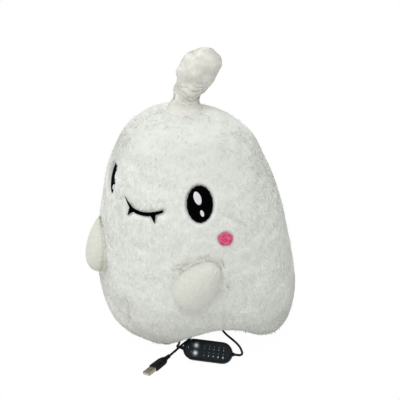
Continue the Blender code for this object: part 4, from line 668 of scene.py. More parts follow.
def tubeMesh(name, path, radius, sides):
    # A ring round each point of the path, with both ends closed; radius may change along it.
    along, across, other = carriedFrames(path)
    radius = np.broadcast_to(radius, len(path))
    turn = np.linspace(0, 2 * math.pi, sides, endpoint=False)
    ring = across[:, None] * np.cos(turn)[:, None] + other[:, None] * np.sin(turn)[:, None]
    points = np.vstack([(path[:, None] + ring * radius[:, None, None]).reshape(-1, 3), path[:1], path[-1:]])
    last = len(path) * sides
    mesh = meshFrom(name, points, gridQuads(len(path), sides, closed=True), endCaps(sides, last))
    walked = walkedAlong(path)
    uv = np.stack([np.tile(turn / (2 * math.pi), len(path)), np.repeat(walked, sides)], axis=-1)
    setUv(mesh, np.vstack([uv, [[0, 0], [0, walked[-1]]]]))
    return mesh


def straightEnds(start, leaving, route, end, arriving):
    # A route whose ends run straight for one diameter, square to what they meet.
    start, end = np.array(start), np.array(end)
    straight = lead["diameter"]
    return np.vstack([start, evenRoute([start + straight * np.array(leaving), *route,
                                        end - straight * np.array(arriving)], lead["spacing"]), end])


def coilTurns():
    # Spirals in on the floor layer, climbs a layer where it reverses, and spirals out.
    pitch = lead["diameter"] + lead["turnGap"]
    low = lead["tieThickness"] + lead["tieGap"] + lead["floorGap"] + lead["diameter"] / 2
    turns = np.linspace(0, lead["turnsIn"] + lead["turnsOut"], 277)
    radius = lead["coilInner"] + pitch * np.abs(turns - lead["turnsIn"])
    climb = np.clip((turns - lead["turnsIn"] + 0.25) / 0.5, 0, 1)
    x, y = lead["coilCentre"]
    return np.stack([x + radius * np.cos(2 * math.pi * turns), y + radius * np.sin(2 * math.pi * turns),
                     low + pitch * climb * climb * (3 - 2 * climb)], axis=-1)


def jacketMaterial(name, low, high, rough):
    # Satin jacket with faint draw lines and a little dust.
    material, tree, shader = startMaterial(name, rough[0], Specular_IOR_Level=0.14)
    tree.links.new(placeGroup(tree, mottle, Low=low, High=high, Scale=90.0), shader.inputs["Base Color"])
    grain = addNode(tree, "ShaderNodeTexNoise", {"Scale": 900.0, "Detail": 2.0, "Vector": objectPlace(tree)})
    addBump(tree, shader, grain.outputs["Fac"], 0.12, 0.0004)
    dull = addNode(tree, "ShaderNodeMapRange", {0: grain.outputs["Fac"], 3: rough[0], 4: rough[1]})
    tree.links.new(dull.outputs[0], shader.inputs["Roughness"])
    return material


leadJacket = jacketMaterial("leadJacket", rgb(12, 13, 15), rgb(5, 6, 8), (0.42, 0.56))
bootPlastic = jacketMaterial("bootPlastic", rgb(11, 13, 16), rgb(5, 7, 9), (0.48, 0.62))
dressed = {"cord_black": leadJacket, "tie_strap": leadJacket}


# The plug's moulded boot: distance from the cord end, half width, half thickness, squareness
boot = {"sections": [(0.0004, 0.0019, 0.0019, 2.0), (0.0008, 0.0025, 0.0025, 2.0),
                     (0.0016, 0.0026, 0.0026, 2.0), (0.0019, 0.0021, 0.0021, 2.0),
                     (0.0027, 0.0021, 0.0021, 2.0), (0.0030, 0.0027, 0.0027, 2.0),
                     (0.0040, 0.0028, 0.0027, 2.0), (0.0043, 0.0022, 0.0022, 2.0),
                     (0.0051, 0.0022, 0.0022, 2.0), (0.0054, 0.0029, 0.0028, 2.0),
                     (0.0064, 0.0030, 0.0028, 2.0), (0.0067, 0.0024, 0.0023, 2.0),
                     (0.0075, 0.0025, 0.0024, 2.0), (0.0078, 0.0034, 0.0030, 2.2),
                     (0.0092, 0.0040, 0.0032, 2.4), (0.0106, 0.0050, 0.0035, 2.7),
                     (0.0122, 0.0060, 0.0038, 3.1), (0.0145, 0.0067, 0.0040, 3.5),
                     (0.0180, 0.0070, 0.0040, 4.0), (0.0240, 0.0072, 0.0040, 4.4),
                     (0.0318, 0.0073, 0.0040, 4.6), (0.0332, 0.0071, 0.0038, 4.6),
                     (0.0335, 0.0067, 0.0034, 4.8), (0.0335, 0.0061, 0.00240, 8.0),
                     (0.0293, 0.0061, 0.00240, 8.0)], "corners": 48}


def makeBoot():
    # Superellipse sections lofted along the plug, ribbed at the cord, with a pocket for the shell.
    x, wide, thick, power = (np.array(boot["sections"])[:, k, None] for k in range(4))
    turn = np.linspace(0, 2 * math.pi, boot["corners"], endpoint=False)
    y = wide * squared(np.cos(turn), 2 / power)
    z = thick * squared(np.sin(turn), 2 / power)
    points = np.stack([np.broadcast_to(x, y.shape), y, z], axis=-1).reshape(-1, 3)
    ends = np.array([[boot["sections"][0][0], 0, 0], [boot["sections"][-1][0], 0, 0]])
    count, last = boot["corners"], len(points)
    caps = endCaps(count, last)
    points = inFrame(plugFrame, np.vstack([points, ends]))
    mesh = meshFrom("plug_boot_moulding", points, gridQuads(len(boot["sections"]), count, closed=True), caps)
    mesh.set_sharp_from_angle(angle=math.radians(40))
    piece = addPiece("plug_boot_moulding", mesh, bootPlastic)
    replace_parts(piece, "plug_boot")
    return piece


# The controller's printed marks, in its own frame: left gives across, up, width, height and shine
marks = {"first": -0.0042, "pitch": 0.00655, "upper": 0.0043, "apart": 0.0017, "small": -0.0027,
         "lower": -0.0068, "bars": (0.0012, 0.0016, 0.0021, 0.0026, 0.0031),
         "left": [(-0.0266, 0.0015, 0.0007, 0.0024, 0.75), (-0.0222, 0.0066, 0.0005, 0.0026, 0.4),
                  (-0.0222, -0.0040, 0.0005, 0.0026, 0.4)], "shine": (0.42, 0.62, 0.62, 0.8, 0.95),
         "raise": 0.00003, "sunk": 0.00006, "roundness": 0.5, "corners": 20,
         "ring": (0.0044, 0.0054), "button": (-0.0160, 0.0051)}


def localPoints(node, frameMatrix):
    # A node's corners in a frame that is set back with the doll.
    mesh = nodes[node].data
    points = np.empty(len(mesh.vertices) * 3, np.float32)
    mesh.vertices.foreach_get("co", points)
    moved = points.reshape(-1, 3) - np.array([0, setBack, 0]) - np.array(frameMatrix.translation)
    return moved @ np.array(frameMatrix.to_3x3())


def markMesh(name, shapes, top):
    # Each mark is a rounded bar, |cos| and |sin| to a power, a little proud of the film, its shine last.
    turn = np.linspace(0, 2 * math.pi, marks["corners"], endpoint=False)
    u, v, wide, high = (np.array(shapes)[:, k, None] for k in range(4))
    x = u + wide / 2 * squared(np.cos(turn), marks["roundness"])
    y = v + high / 2 * squared(np.sin(turn), marks["roundness"])
    rings = [np.stack([x, y, np.full_like(x, z)], axis=-1)
             for z in (top - marks["sunk"], top + marks["raise"])]
    ends = [np.stack([u, v, np.full_like(u, z)], axis=-1)
            for z in (top - marks["sunk"], top + marks["raise"])]
    points = np.concatenate([*rings, *ends], axis=1)
    count = marks["corners"]
    quads = gridQuads(2, count, closed=True)
    caps = endCaps(count, 2 * count)
    first = np.arange(len(shapes))[:, None, None] * (2 * count + 2)
    mesh = meshFrom(name, inFrame(controllerFrame, points.reshape(-1, 3)),
                    (quads[None] + first).reshape(-1, 4), (caps[None] + first).reshape(-1, 3))
    setAttribute(mesh, "shine", np.repeat(np.array(shapes)[:, 4], 2 * count + 2))
    return mesh


def ringMesh(name, centres, top):
    # Flat rings round the buttons: an outer and an inner edge on two levels.
    turn = np.linspace(0, 2 * math.pi, 40, endpoint=False)
    inner, outer = marks["ring"]
    walk = [(inner, top - marks["sunk"]), (outer, top - marks["sunk"]), (outer, top + marks["raise"]),
            (inner, top + marks["raise"]), (inner, top - marks["sunk"])]
    points, quads = [], []
    for x, y in centres:
        quads.append(gridQuads(len(walk), len(turn), closed=True) + len(points) * len(walk) * len(turn))
        points.append(np.stack([np.stack([x + r * np.cos(turn), y + r * np.sin(turn),
                                          np.full_like(turn, z)], -1) for r, z in walk]).reshape(-1, 3))
    mesh = meshFrom(name, inFrame(controllerFrame, np.vstack(points)), np.vstack(quads))
    setAttribute(mesh, "shine", np.ones(len(mesh.vertices)))
    return mesh


def makeMarks():
    top = float(localPoints("controller_overlay", controllerFrame)[:, 2].max())
    shapes = list(marks["left"])
    for k, bar in enumerate(marks["bars"]):
        across, shine = marks["first"] + k * marks["pitch"], marks["shine"][k]
        shapes += [(across, marks["upper"] + marks["apart"], 0.0009, 0.0011, 0.6 * shine),
                   (across, marks["upper"] - marks["apart"], 0.0011, 0.0012, 0.75 * shine),
                   (across, marks["small"], 0.0007, 0.0012, 0.6 * shine),
                   (across, marks["lower"], 0.0015, bar, shine)]
    printed = addPiece("controller_marks", markMesh("controller_marks", shapes, top), markInk)
    x, y = marks["button"]
    rings = ringMesh("button_rings", [(x, y), (x, -y)], top)
    return [printed, addPiece("button_rings", rings, ringInk, smooth=False)]


# The strap round the spare lead's coil
strap = {"inner": 0.0102, "outer": 0.0254, "bottom": 0.0001, "top": 0.0089, "thickness": 0.0006,
         "width": 0.008, "corner": 0.0016, "around": 190.0, "overlap": 0.011}


def makeStrap():
    # A rounded rectangle in the plane of one radius, walked round and on over its own start, then widened.
    half = strap["thickness"] / 2
    x0, x1 = strap["inner"] - half, strap["outer"] + half
    z0, z1 = strap["bottom"] + half, strap["top"] - half
    r = strap["corner"]
    quarter = np.linspace(0, math.pi / 2, 7)
    ring = []
    for cx, cz, start in ((x1 - r, z1 - r, 0), (x0 + r, z1 - r, 1), (x0 + r, z0 + r, 2), (x1 - r, z0 + r, 3)):
        a = quarter + start * math.pi / 2
        ring.append(np.stack([cx + r * np.cos(a), cz + r * np.sin(a)], axis=-1))
    ring = np.vstack([*ring, ring[0][:1]])[::-1]
    walked = walkedAlong(ring)
    stops = np.linspace(0, walked[-1], 100)
    ring = np.stack([np.interp(stops, walked, ring[:, k]) for k in range(2)], axis=-1)
    start = np.argmin(np.abs(ring[:, 0] - (x1 - 0.004)) + (ring[:, 1] < z1 - 0.001))
    ring = np.vstack([ring[start:-1], ring[:start]])
    extra = int(strap["overlap"] / (stops[1] - stops[0]))
    tail = ring[:extra].copy()
    tail[:, 1] += 2.2 * half * smoothStep(np.arange(extra), 0, 4)
    path = np.vstack([ring, tail])
    across = np.linspace(-strap["width"] / 2, strap["width"] / 2, 9)
    a = math.radians(strap["around"])
    away = np.array([math.cos(a), math.sin(a), 0.0])
    beside = np.array([-math.sin(a), math.cos(a), 0.0])
    centre = np.array([*lead["coilCentre"], 0.0]) + [0, setBack, 0]
    points = (centre + path[:, None, 0:1] * away + across[None, :, None] * beside
              + path[:, None, 1:2] * np.array([0, 0, 1.0])).reshape(-1, 3)
    mesh = meshFrom("coil_strap", points, gridQuads(len(path), len(across)))
    along = np.repeat(np.arange(len(path)) * (stops[1] - stops[0]), len(across))
    setUv(mesh, np.stack([np.tile(across, len(path)), along], -1))
    piece = addPiece("coil_strap", mesh, strapCloth)
    shell = piece.modifiers.new("thickness", "SOLIDIFY")
    shell.thickness, shell.offset = strap["thickness"], 0.0
    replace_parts(piece, "coil_tie")
    return piece


def makeLeads(plugBoot, fitted):
    along = np.array(controllerFrame.to_3x3() @ Vector((1, 0, 0)))
    reach = controller["length"] / 2 + controller["reliefNose"] + lead["gap"]
    tips = [np.array(controllerFrame @ Vector((side * reach, 0, controller["parting"]))) for side in (1, -1)]
    glandTip = np.array(lead["gland"])
    back = np.array([0, setBack, 0])
    heaterPath = straightEnds(tips[0], along, heaterRoute, glandTip, (0, 0, 1))[::-1] + back
    coil = coilTurns()
    enter, leave = unit(coil[1] - coil[0]), unit(coil[-1] - coil[-2])
    plugLine = np.array(plugFrame.to_3x3() @ Vector((1, 0, 0)))
    toCoil = straightEnds(tips[1], -along, coilRoute, coil[0] - lead["gap"] * enter, enter)
    toPlug = straightEnds(coil[-1] + lead["gap"] * leave, leave, plugRoute,
                          np.array(plugFrame.translation), plugLine)
    usbPath = np.vstack([toCoil, coil, toPlug]) + back
    radius = lead["diameter"] / 2
    heaterLead = addPiece("heater_lead_jacket",
                          tubeMesh("heater_lead_jacket", heaterPath, radius, lead["sides"]),
                          leadJacket)
    usbLead = addPiece("usb_lead_jacket",
                       tubeMesh("usb_lead_jacket", usbPath, radius, lead["sides"]), leadJacket)
    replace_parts(heaterLead, "heater_lead")
    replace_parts(usbLead, "usb_lead_to_coil", "usb_lead_coil", "usb_lead_to_plug")
    print("leads", round(lengthOf(heaterPath), 4), round(lengthOf(usbPath), 4))


makeLeads(makeBoot(), [*makeMarks(), makeStrap()])


# The fur body's surface
doll = {"height": 0.326, "width": 0.314, "depth": 0.281, "lean": 0.029,
        "domeRoundness": 1.72, "domeFullness": 2.9, "hemRise": 0.042, "hemInset": 0.051,
        "hemSquareness": 2.4, "dartLift": 0.028, "dartLiftFade": 0.066, "dartDraw": 0.039,
        "dartDrawFade": 0.020, "dartPower": 3, "hemFlat": 0.0005}


def halfWidth(height):
    # A full dome, 1 - h^p to the 1/q, whose lower edge rolls under by a superellipse.
    share = np.clip(height / doll["height"], 0, 1)
    dome = doll["width"] / 2 * np.clip(1 - share ** doll["domeRoundness"], 0, 1) ** (1 / doll["domeFullness"])
    below = np.clip((doll["hemRise"] - height) / doll["hemRise"], 0, 1)
    return dome - doll["hemInset"] * (1 - (1 - below ** doll["hemSquareness"]) ** (1 / doll["hemSquareness"]))


def dollSurface(turn, height):
    # The point at an angle from the front and a height; four darts lift and draw in the hem.
    dart = np.abs(np.sin(2 * turn)) ** doll["dartPower"]
    reach = halfWidth(height) - doll["dartDraw"] * dart * np.exp(-(height / doll["dartDrawFade"]) ** 2)
    x = reach * np.sin(turn)
    y = -reach * np.cos(turn) * doll["depth"] / doll["width"]
    y = y - doll["lean"] * height / doll["height"] + setBack
    z = height + doll["dartLift"] * dart * np.exp(-(height / doll["dartLiftFade"]) ** 2) - doll["hemFlat"]
    return np.stack([x, y, z], axis=-1)


def surfaceFrames(turn, height):
    # Point, sideways, upward and outward directions on the fur.
    step = 1e-4
    at = dollSurface(turn, height)
    side = unit(dollSurface(turn + step, height) - at)
    lower = np.minimum(height, doll["height"] - 2 * step)
    up = unit(dollSurface(turn, lower + step) - dollSurface(turn, lower))
    out = unit(np.cross(side, up))
    return at, side, np.cross(out, side), out


def turnAndHeight(points):
    # The angle and height whose surface point is nearest, read back from a point above the hem.
    height = points[..., 2] + doll["hemFlat"]
    y = (points[..., 1] - setBack + doll["lean"] * height / doll["height"]) * doll["width"] / doll["depth"]
    return np.arctan2(points[..., 0], -y), height


# Where stuffing and stitching move the cloth: creases are (from, to, depth, half width), each place being
# degrees round and height; swells are (turn, height, amount, half turn, half height); sewn lines, painted tan
# for a seam's thread and as painted shade in a fold, are (from, to, half width).
relief = {"creases": [((-8.0, 0.078), (-6.5, 0.036), 0.0024, 0.0030),
                      ((51.8, 0.223), (69.0, 0.199), 0.0008, 0.0045),
                      ((46.0, 0.074), (45.0, 0.030), 0.0016, 0.0040),
                      ((-46.0, 0.074), (-45.0, 0.030), 0.0016, 0.0040),
                      ((134.0, 0.080), (135.0, 0.030), 0.0020, 0.0040),
                      ((-134.0, 0.080), (-135.0, 0.030), 0.0020, 0.0040)],
          "armCreases": [((20.0, 0.1462), (30.0, 0.1508), 0.0024, 0.0015),
                         ((21.5, 0.1528), (30.5, 0.1578), 0.0018, 0.0013),
                         ((24.5, 0.1400), (29.0, 0.1440), 0.0012, 0.0012),
                         ((44.8, 0.1620), (47.2, 0.1460), 0.0024, 0.0015),
                         ((47.6, 0.1630), (49.6, 0.1490), 0.0016, 0.0014),
                         ((49.2, 0.1260), (50.8, 0.1180), 0.0018, 0.0018),
                         ((35.0, 0.1660), (42.0, 0.1700), 0.0010, 0.0016)],
          "swells": [(-55, 0.293, 0.0024, 20, 0.030), (-46, 0.188, -0.0036, 15, 0.030),
                     (-40, 0.055, -0.0012, 14, 0.014), (-24, 0.022, 0.0062, 15, 0.017),
                     (124, 0.287, 0.0036, 22, 0.024), (95, 0.034, -0.0026, 14, 0.016),
                     (-25, 0.126, 0.0030, 6, 0.026)],
          "sewn": [((-8.3, 0.088), (-7.4, 0.034), 0.0013),
                   ((53.0, 0.221), (69.0, 0.199), 0.0007)], "eyePucker": 0.0014,
          "armDent": 0.0016, "seamAndCreaseShade": 0.7}


def crease(turn, height, start, end, half):
    # 1 along a line drawn on the fur, fading over half a width beside it and towards its ends.
    (fromTurn, fromHeight), (toTurn, toHeight) = start, end
    reach = halfWidth(np.array((fromHeight + toHeight) / 2))
    x, x0, x1 = turn * reach, math.radians(fromTurn) * reach, math.radians(toTurn) * reach
    share = ((x - x0) * (x1 - x0) + (height - fromHeight) * (toHeight - fromHeight)) / (
        (x1 - x0) ** 2 + (toHeight - fromHeight) ** 2)
    share = np.clip(share, 0, 1)
    away = np.hypot(x - x0 - share * (x1 - x0), height - fromHeight - share * (toHeight - fromHeight))
    return np.exp(-(away / half) ** 2) * (1 - 0.8 * np.abs(2 * share - 1) ** 3)


def clothRise(turn, height):
    # How far the cloth stands out of the plain form: fuller and flatter places, puckers, dents and creases.
    turn, height = np.broadcast_arrays(turn, height)
    rise = 0.0
    for turnAt, heightAt, amount, wide, high in relief["swells"]:
        away = (turn - math.radians(turnAt) + math.pi) % (2 * math.pi) - math.pi
        rise = rise + amount * np.exp(-(away / math.radians(wide)) ** 2 - ((height - heightAt) / high) ** 2)
    eyeTurn, eyeHeight = math.radians(face["eyeTurns"][1]), face["eye"][0]
    across = (turn - eyeTurn) * halfWidth(height)
    rise = rise - relief["eyePucker"] * np.exp(-(across / 0.026) ** 2 - ((height - eyeHeight) / 0.034) ** 2)
    for start, end, depth, half in relief["creases"]:
        rise = rise - depth * crease(turn, height, start, end, half)
    for side in (1, -1):
        across = (side * turn - math.radians(arm["turn"])) * halfWidth(np.array(arm["height"]))
        rise = rise - relief["armDent"] * np.exp(-(across / 0.024) ** 2
                                                 - ((height - arm["height"]) / 0.030) ** 2)
        for start, end, depth, half in relief["armCreases"]:
            rise = rise - depth * crease(side * turn, height, start, end, half)
    return rise


def seamAndCreaseShade(turn, height):
    # Where tan is painted on the fur: painted shade in the creases drawn by each arm, and the sewn lines,
    # which carry a seam's thread and painted shade along them.
    show = 0.0
    for side in (1, -1):
        for start, end, depth, half in relief["armCreases"]:
            show = show + crease(side * turn, height, start, end, half * 1.1)
    for start, end, half in relief["sewn"]:
        show = show + 0.8 * crease(turn, height, start, end, half)
    return np.clip(show, 0, 1) * relief["seamAndCreaseShade"]


def layOnFur(turn, height, across, up, rise):
    # A point reached from (turn, height) by going across and up along the fur, then out by rise.
    step = 1e-4
    slope = (halfWidth(np.array(height + step)) - halfWidth(np.array(height))) / step
    z = height + up / np.sqrt(1 + slope ** 2)
    around = turn + across / halfWidth(z)
    at, side, above, out = surfaceFrames(around, z)
    return at + out * (np.asarray(rise) + clothRise(around, z))[..., None]


# The stitched face, left before right: an eye or cheek is (height, half width, half height, tilt), a glint is
# (across, up, half width, half height, tilt) and a line has points (across, height); turns are in degrees
face = {"eyeTurns": (38.8, -37.6), "eye": (0.2348, 0.0172, 0.0243, 10.0),
        "eyeDepth": (0.0032, 0.0070), "cheekTurn": 51.8,
        "cheek": (0.1898, 0.0102, 0.0087, 0.0), "cheekDepth": (0.0006, 0.0048),
        "largeGlint": (-0.0024, 0.0083, 0.0049, 0.0088, -12.0),
        "smallGlint": (0.0017, -0.0116, 0.0025, 0.0045, -12.0), "farShift": (0.0030, 0.0063),
        "mouth": [(-0.0290, 0.2266), (-0.0262, 0.2248), (-0.0214, 0.2209), (-0.0152, 0.2163),
                  (-0.0090, 0.2145), (-0.0030, 0.2139), (0.0045, 0.2142), (0.0119, 0.2153),
                  (0.0205, 0.2180), (0.0275, 0.2209), (0.0335, 0.2239)], "mouthThread": 0.0049,
        "mouthDepth": 0.0012, "ticks": [((-0.0148, 0.2160), (-0.0212, 0.2046)),
                                        ((0.0186, 0.2174), (0.0232, 0.2056))], "tickThread": 0.0094,
        "pile": 0.0010, "below": 0.0008}


def mouthRoute():
    # The mouth's line, thin at its first end and blunt at the other.
    line = evenRoute([(x, z, 0) for x, z in face["mouth"]], 0.0008)[:, :2]
    share = np.linspace(0, 1, len(line))
    thin, blunt = 0.20 + 0.80 * smoothStep(share, 0.0, 0.34), 1 - 0.35 * smoothStep(share, 0.72, 1)
    return line, face["mouthThread"] * thin * blunt


def tickRoute(ends):
    down = np.linspace(0, 1, 12)[:, None]
    line = np.array(ends[0]) + (np.array(ends[1]) - np.array(ends[0])) * down
    return line, face["tickThread"] * (1 - 0.93 * down[:, 0]) ** 1.25


def strokes():
    return [mouthRoute(), *[tickRoute(ends) for ends in face["ticks"]]]


def threadField(turn, height):
    # Metres outside the nearest stitched shape, and how far the fur sinks towards it.
    away = np.full(np.shape(turn), 9.0)
    dip = np.zeros(np.shape(turn))
    near = (np.abs(turn) < 1.3) & (height > 0.16) & (height < 0.28)
    t, h = turn[near], height[near]
    least, deepest = np.full(t.shape, 9.0), np.zeros(t.shape)

    def take(distance, depth):
        sunk = (depth + face["below"]) * (1 - smoothStep(distance, 0.0, coat["threadReach"]))
        return np.minimum(least, distance), np.maximum(deepest, sunk)

    for side in (1, -1):
        which = 0 if side > 0 else 1
        ovals = [(face["eyeTurns"][which], *face["eye"], face["eyeDepth"][which]),
                 (side * face["cheekTurn"], *face["cheek"], face["cheekDepth"][which])]
        for turnAt, heightAt, wide, high, tilt, depth in ovals:
            slope = (halfWidth(np.array(heightAt + 1e-4)) - halfWidth(np.array(heightAt))) / 1e-4
            across = (t - math.radians(turnAt)) * halfWidth(h)
            up = (h - heightAt) * math.sqrt(1 + slope ** 2)
            a = math.radians(side * tilt)
            u = across * math.cos(a) - up * math.sin(a)
            v = across * math.sin(a) + up * math.cos(a)
            r = np.hypot(u / wide, v / high)
            least, deepest = take((r - 1) * np.hypot(u, v) / np.maximum(r, 1e-6), depth)
    across = t * halfWidth(h)
    for line, width in strokes():
        distance = np.full(t.shape, 9.0)
        for (x, z), w in zip(line[::2], width[::2]):
            distance = np.minimum(distance, np.hypot(across - x, h - z) - w / 2)
        least, deepest = take(distance, face["mouthDepth"])
    away[near], dip[near] = least, deepest
    return away, dip


# The fur coat
coat = {"columns": 330, "rows": 210, "inset": 0.0016, "lump": 0.0009, "lumpSize": 0.046,
        "ripple": 0.00045, "rippleSize": 0.017, "tuft": 0.00030, "tuftSize": 0.0075,
        "threadReach": 0.0042, "seamDepth": 0.0004, "seamHalf": 0.0022, "calm": (0.235, 0.300),
        "waves": (0.0005, 0.030, 0.0105), "lipShare": 0.90, "lipRows": 6, "hemTuck": 0.0016}
base = {"lift": 0.026, "flatShare": 0.74, "rimRise": 0.0015, "inset": 0.0021}
arm = {"turn": 34.0, "height": 0.131, "slant": 49.0, "length": 0.074, "width": 0.050,
       "depth": 0.042, "standOff": 0.005, "taper": 0.20, "blunt": 0.80, "tilt": 0.0,
       "right": {"turn": 38.0, "height": 0.130, "standOff": -0.0006, "tilt": 8.0, "length": 0.077,
                 "width": 0.045, "depth": 0.037, "taper": 0.38, "blunt": 0.90}}


def baseHeight(share, rimHeight):
    # Flat in the middle, turned down to the hem's rim outside the flat.
    fall = smoothStep(share, base["flatShare"], 1)
    return base["lift"] + (rimHeight + base["rimRise"] - base["lift"]) * fall


def baseSurface(turn, share):
    rim = dollSurface(turn, np.zeros_like(turn))
    inset = 1 - base["inset"] / (doll["width"] / 2 - doll["hemInset"])
    return np.stack([rim[..., 0] * share * inset, (rim[..., 1] - setBack) * share * inset + setBack,
                     baseHeight(share, rim[..., 2])], axis=-1)


def armShape(side):
    # The right arm sits further round and deeper in the fur than the left, and is slimmer.
    return arm if side > 0 else {**arm, **arm["right"]}


def armFrame(side):
    # Centre of an arm: X up towards its root, Z out of the body; the other arm mirrors it.
    shape = armShape(side)
    at, sideways, up, out = surfaceFrames(np.array(math.radians(shape["turn"])), np.array(shape["height"]))
    slant = math.radians(shape["slant"])
    x = sideways * math.cos(slant) + up * math.sin(slant)
    y = np.cross(out, x)
    at = at + out * shape["standOff"]
    tilt = math.radians(shape["tilt"])
    x, out = x * math.cos(tilt) - out * math.sin(tilt), out * math.cos(tilt) + x * math.sin(tilt)
    axes = np.stack([x, y, out], axis=0)
    if side < 0:
        mirror = np.array([-1.0, 1.0, 1.0])
        axes, at = axes * mirror, at * mirror
        axes[1] = -axes[1]
    return at, axes


def coatRise(at, turn, height):
    # How far the coat stands out of the plain form, the pile value from 0 to 1 with painted shade in it, and
    # the stitches' distance.
    centre, near = nearestTuft(at, coat["tuftSize"], 11)
    tuft = 1 - np.clip(near, 0, 1) ** 2
    rise = (clothRise(turn, height) - coat["inset"] + coat["lump"] * softNoise(at, coat["lumpSize"], 3)
            + coat["ripple"] * softNoise(at, coat["rippleSize"], 4) + coat["tuft"] * (tuft - 0.6))
    seam = np.abs(np.abs(turn) - math.pi / 2) * np.maximum(halfWidth(height), 0.01)
    rise = rise - coat["seamDepth"] * np.exp(-(seam / coat["seamHalf"]) ** 2)
    rise = rise - coat["hemTuck"] * (1 - smoothStep(height, 0.0, 0.030))
    away, dip = threadField(turn, height)
    waves = softNoise(np.stack([turn * np.maximum(halfWidth(height), 0.02) / coat["waves"][1],
                                height / coat["waves"][2], np.zeros_like(turn)], axis=-1), 1.0, 24)
    rise = rise + coat["waves"][0] * waves * busyness(height)
    # Painted shade and light: pile is higher on tuft tops and wave crests, lower between them, and lower
    # where the fur sinks towards stitches.
    pile = 0.53 + 0.24 * tuft + 0.24 * softNoise(at, 0.0028, 23) + 0.12 * waves
    pile = np.clip(paintedShadePile(height) + (pile - 0.66) * busyness(height), 0, 1)
    return rise - dip, pile * (1 - 0.55 * np.clip(dip / 0.004, 0, 1)), away


def paintedShadePile(height):
    # Painted shade: the pile's usual value, lower on the crown and towards the hem so that both render
    # darker.
    return 0.82 - 0.31 * smoothStep(height, *coat["calm"]) - 0.72 * (1 - smoothStep(height, 0.014, 0.105))


def busyness(height):
    # How strongly the fur is mottled: less on the crown.
    return 1.0 - 0.8 * smoothStep(height, *coat["calm"])


def evenHeights(count):
    # Heights that stand at equal steps along the body's outline.
    fine = doll["height"] * (1 - np.cos(np.linspace(0, math.pi, 4001))) / 2
    width = halfWidth(fine)
    along = np.concatenate([[0], np.cumsum(np.hypot(np.diff(width), np.diff(fine)))])
    return np.interp(np.linspace(0, along[-1], count), along, fine)


def makeCoat(name, middle, node):
    # Half the coat: a turned-in lip, then rows up to the crown; the two halves share their edge points.
    turn = middle + np.linspace(-math.pi / 2, math.pi / 2, coat["columns"])
    turn = (turn + math.pi) % (2 * math.pi) - math.pi
    heights = evenHeights(coat["rows"])
    heights[-1] = doll["height"] * (1 - 1e-6)
    t, h = np.meshgrid(turn, heights)
    at, side, up, out = surfaceFrames(t.ravel(), h.ravel())
    rise, pile, away = coatRise(at, t.ravel(), h.ravel())
    body = at + out * rise[:, None]
    lipShare = np.linspace(coat["lipShare"], 1.0, coat["lipRows"], endpoint=False)
    lt, ls = np.meshgrid(turn, lipShare)
    lip = baseSurface(lt, ls) - np.array([0, 0, 0.0006])
    points = np.vstack([lip.reshape(-1, 3), body])
    points[:, 2] = np.maximum(points[:, 2], 0.0004)
    mesh = meshFrom(name, points, gridQuads(len(heights) + coat["lipRows"], len(turn)))
    lips = lip.shape[0] * lip.shape[1]
    # The turned-in lip's low pile value is painted shade under the hem.
    setAttribute(mesh, "pile", np.concatenate([np.full(lips, 0.2), pile]))
    setAttribute(mesh, "busy", np.concatenate([np.ones(lips), busyness(h.ravel())]))
    setAttribute(mesh, "seam", np.concatenate([np.zeros(lips), seamAndCreaseShade(t.ravel(), h.ravel())]))
    piece = addPiece(name, mesh, whiteFur)
    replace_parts(piece, node)


makeCoat("front_coat", 0.0, "front_panel")
makeCoat("back_coat", math.pi, "back_panel")
print("coat laid")


# The filling behind the fur: two halves with the heater's slot between them
stuffing = {"inset": 0.0125, "floor": 0.052, "front": -0.0510, "back": -0.0390, "rows": 70,
            "columns": 150, "lump": 0.0018}


def makeStuffing(name, node, side):
    # Closed rings inside the coat, cut off straight at the heater's slot.
    limit = stuffing["front" if side > 0 else "back"] + setBack
    turn = np.linspace(-math.pi, math.pi, stuffing["columns"], endpoint=False)
    heights = evenHeights(400)
    reach = dollSurface(np.array(0.0 if side > 0 else math.pi), heights)[:, 1]
    heights = heights[(heights > stuffing["floor"]) & ((limit - reach) * side > stuffing["inset"] + 0.006)]
    heights = heights[np.linspace(0, len(heights) - 1, stuffing["rows"]).astype(int)]
    t, h = np.meshgrid(turn, heights)
    at, _, _, out = surfaceFrames(t.ravel(), h.ravel())
    points = at + out * (clothRise(t.ravel(), h.ravel()) - stuffing["inset"]
                         + stuffing["lump"] * softNoise(at, 0.03, 91))[:, None]
    points[:, 1] = np.minimum(points[:, 1], limit) if side > 0 else np.maximum(points[:, 1], limit)
    points[:, 2] = np.maximum(points[:, 2], stuffing["floor"])
    count = len(turn)
    ends = [points[:count].mean(axis=0), points[-count:].mean(axis=0)]
    last = len(points)
    points = np.vstack([points, ends])
    caps = endCaps(count, last)
    mesh = meshFrom(name, points, gridQuads(len(heights), count, closed=True), caps)
    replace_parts(addPiece(name, mesh, finishMaterial("filling")), node)


makeStuffing("front_stuffing", "filling_front", 1)
makeStuffing("back_stuffing", "filling_back", -1)


# The pile that stands on the coat
hairs = {"count": 62000, "length": 0.0044, "width": 0.00070, "lift": 0.00035, "gather": 0.20,
         "gatherSize": 0.0060, "swirl": 0.9, "swirlSize": 0.040, "stray": 0.40, "roll": 0.04,
         "tone": 0.12, "wisps": (0.012, 0.0024), "sink": 0.0004, "floor": 0.0004,
         "hemCount": 4200, "hemFront": 1600, "hemLength": 0.0062}


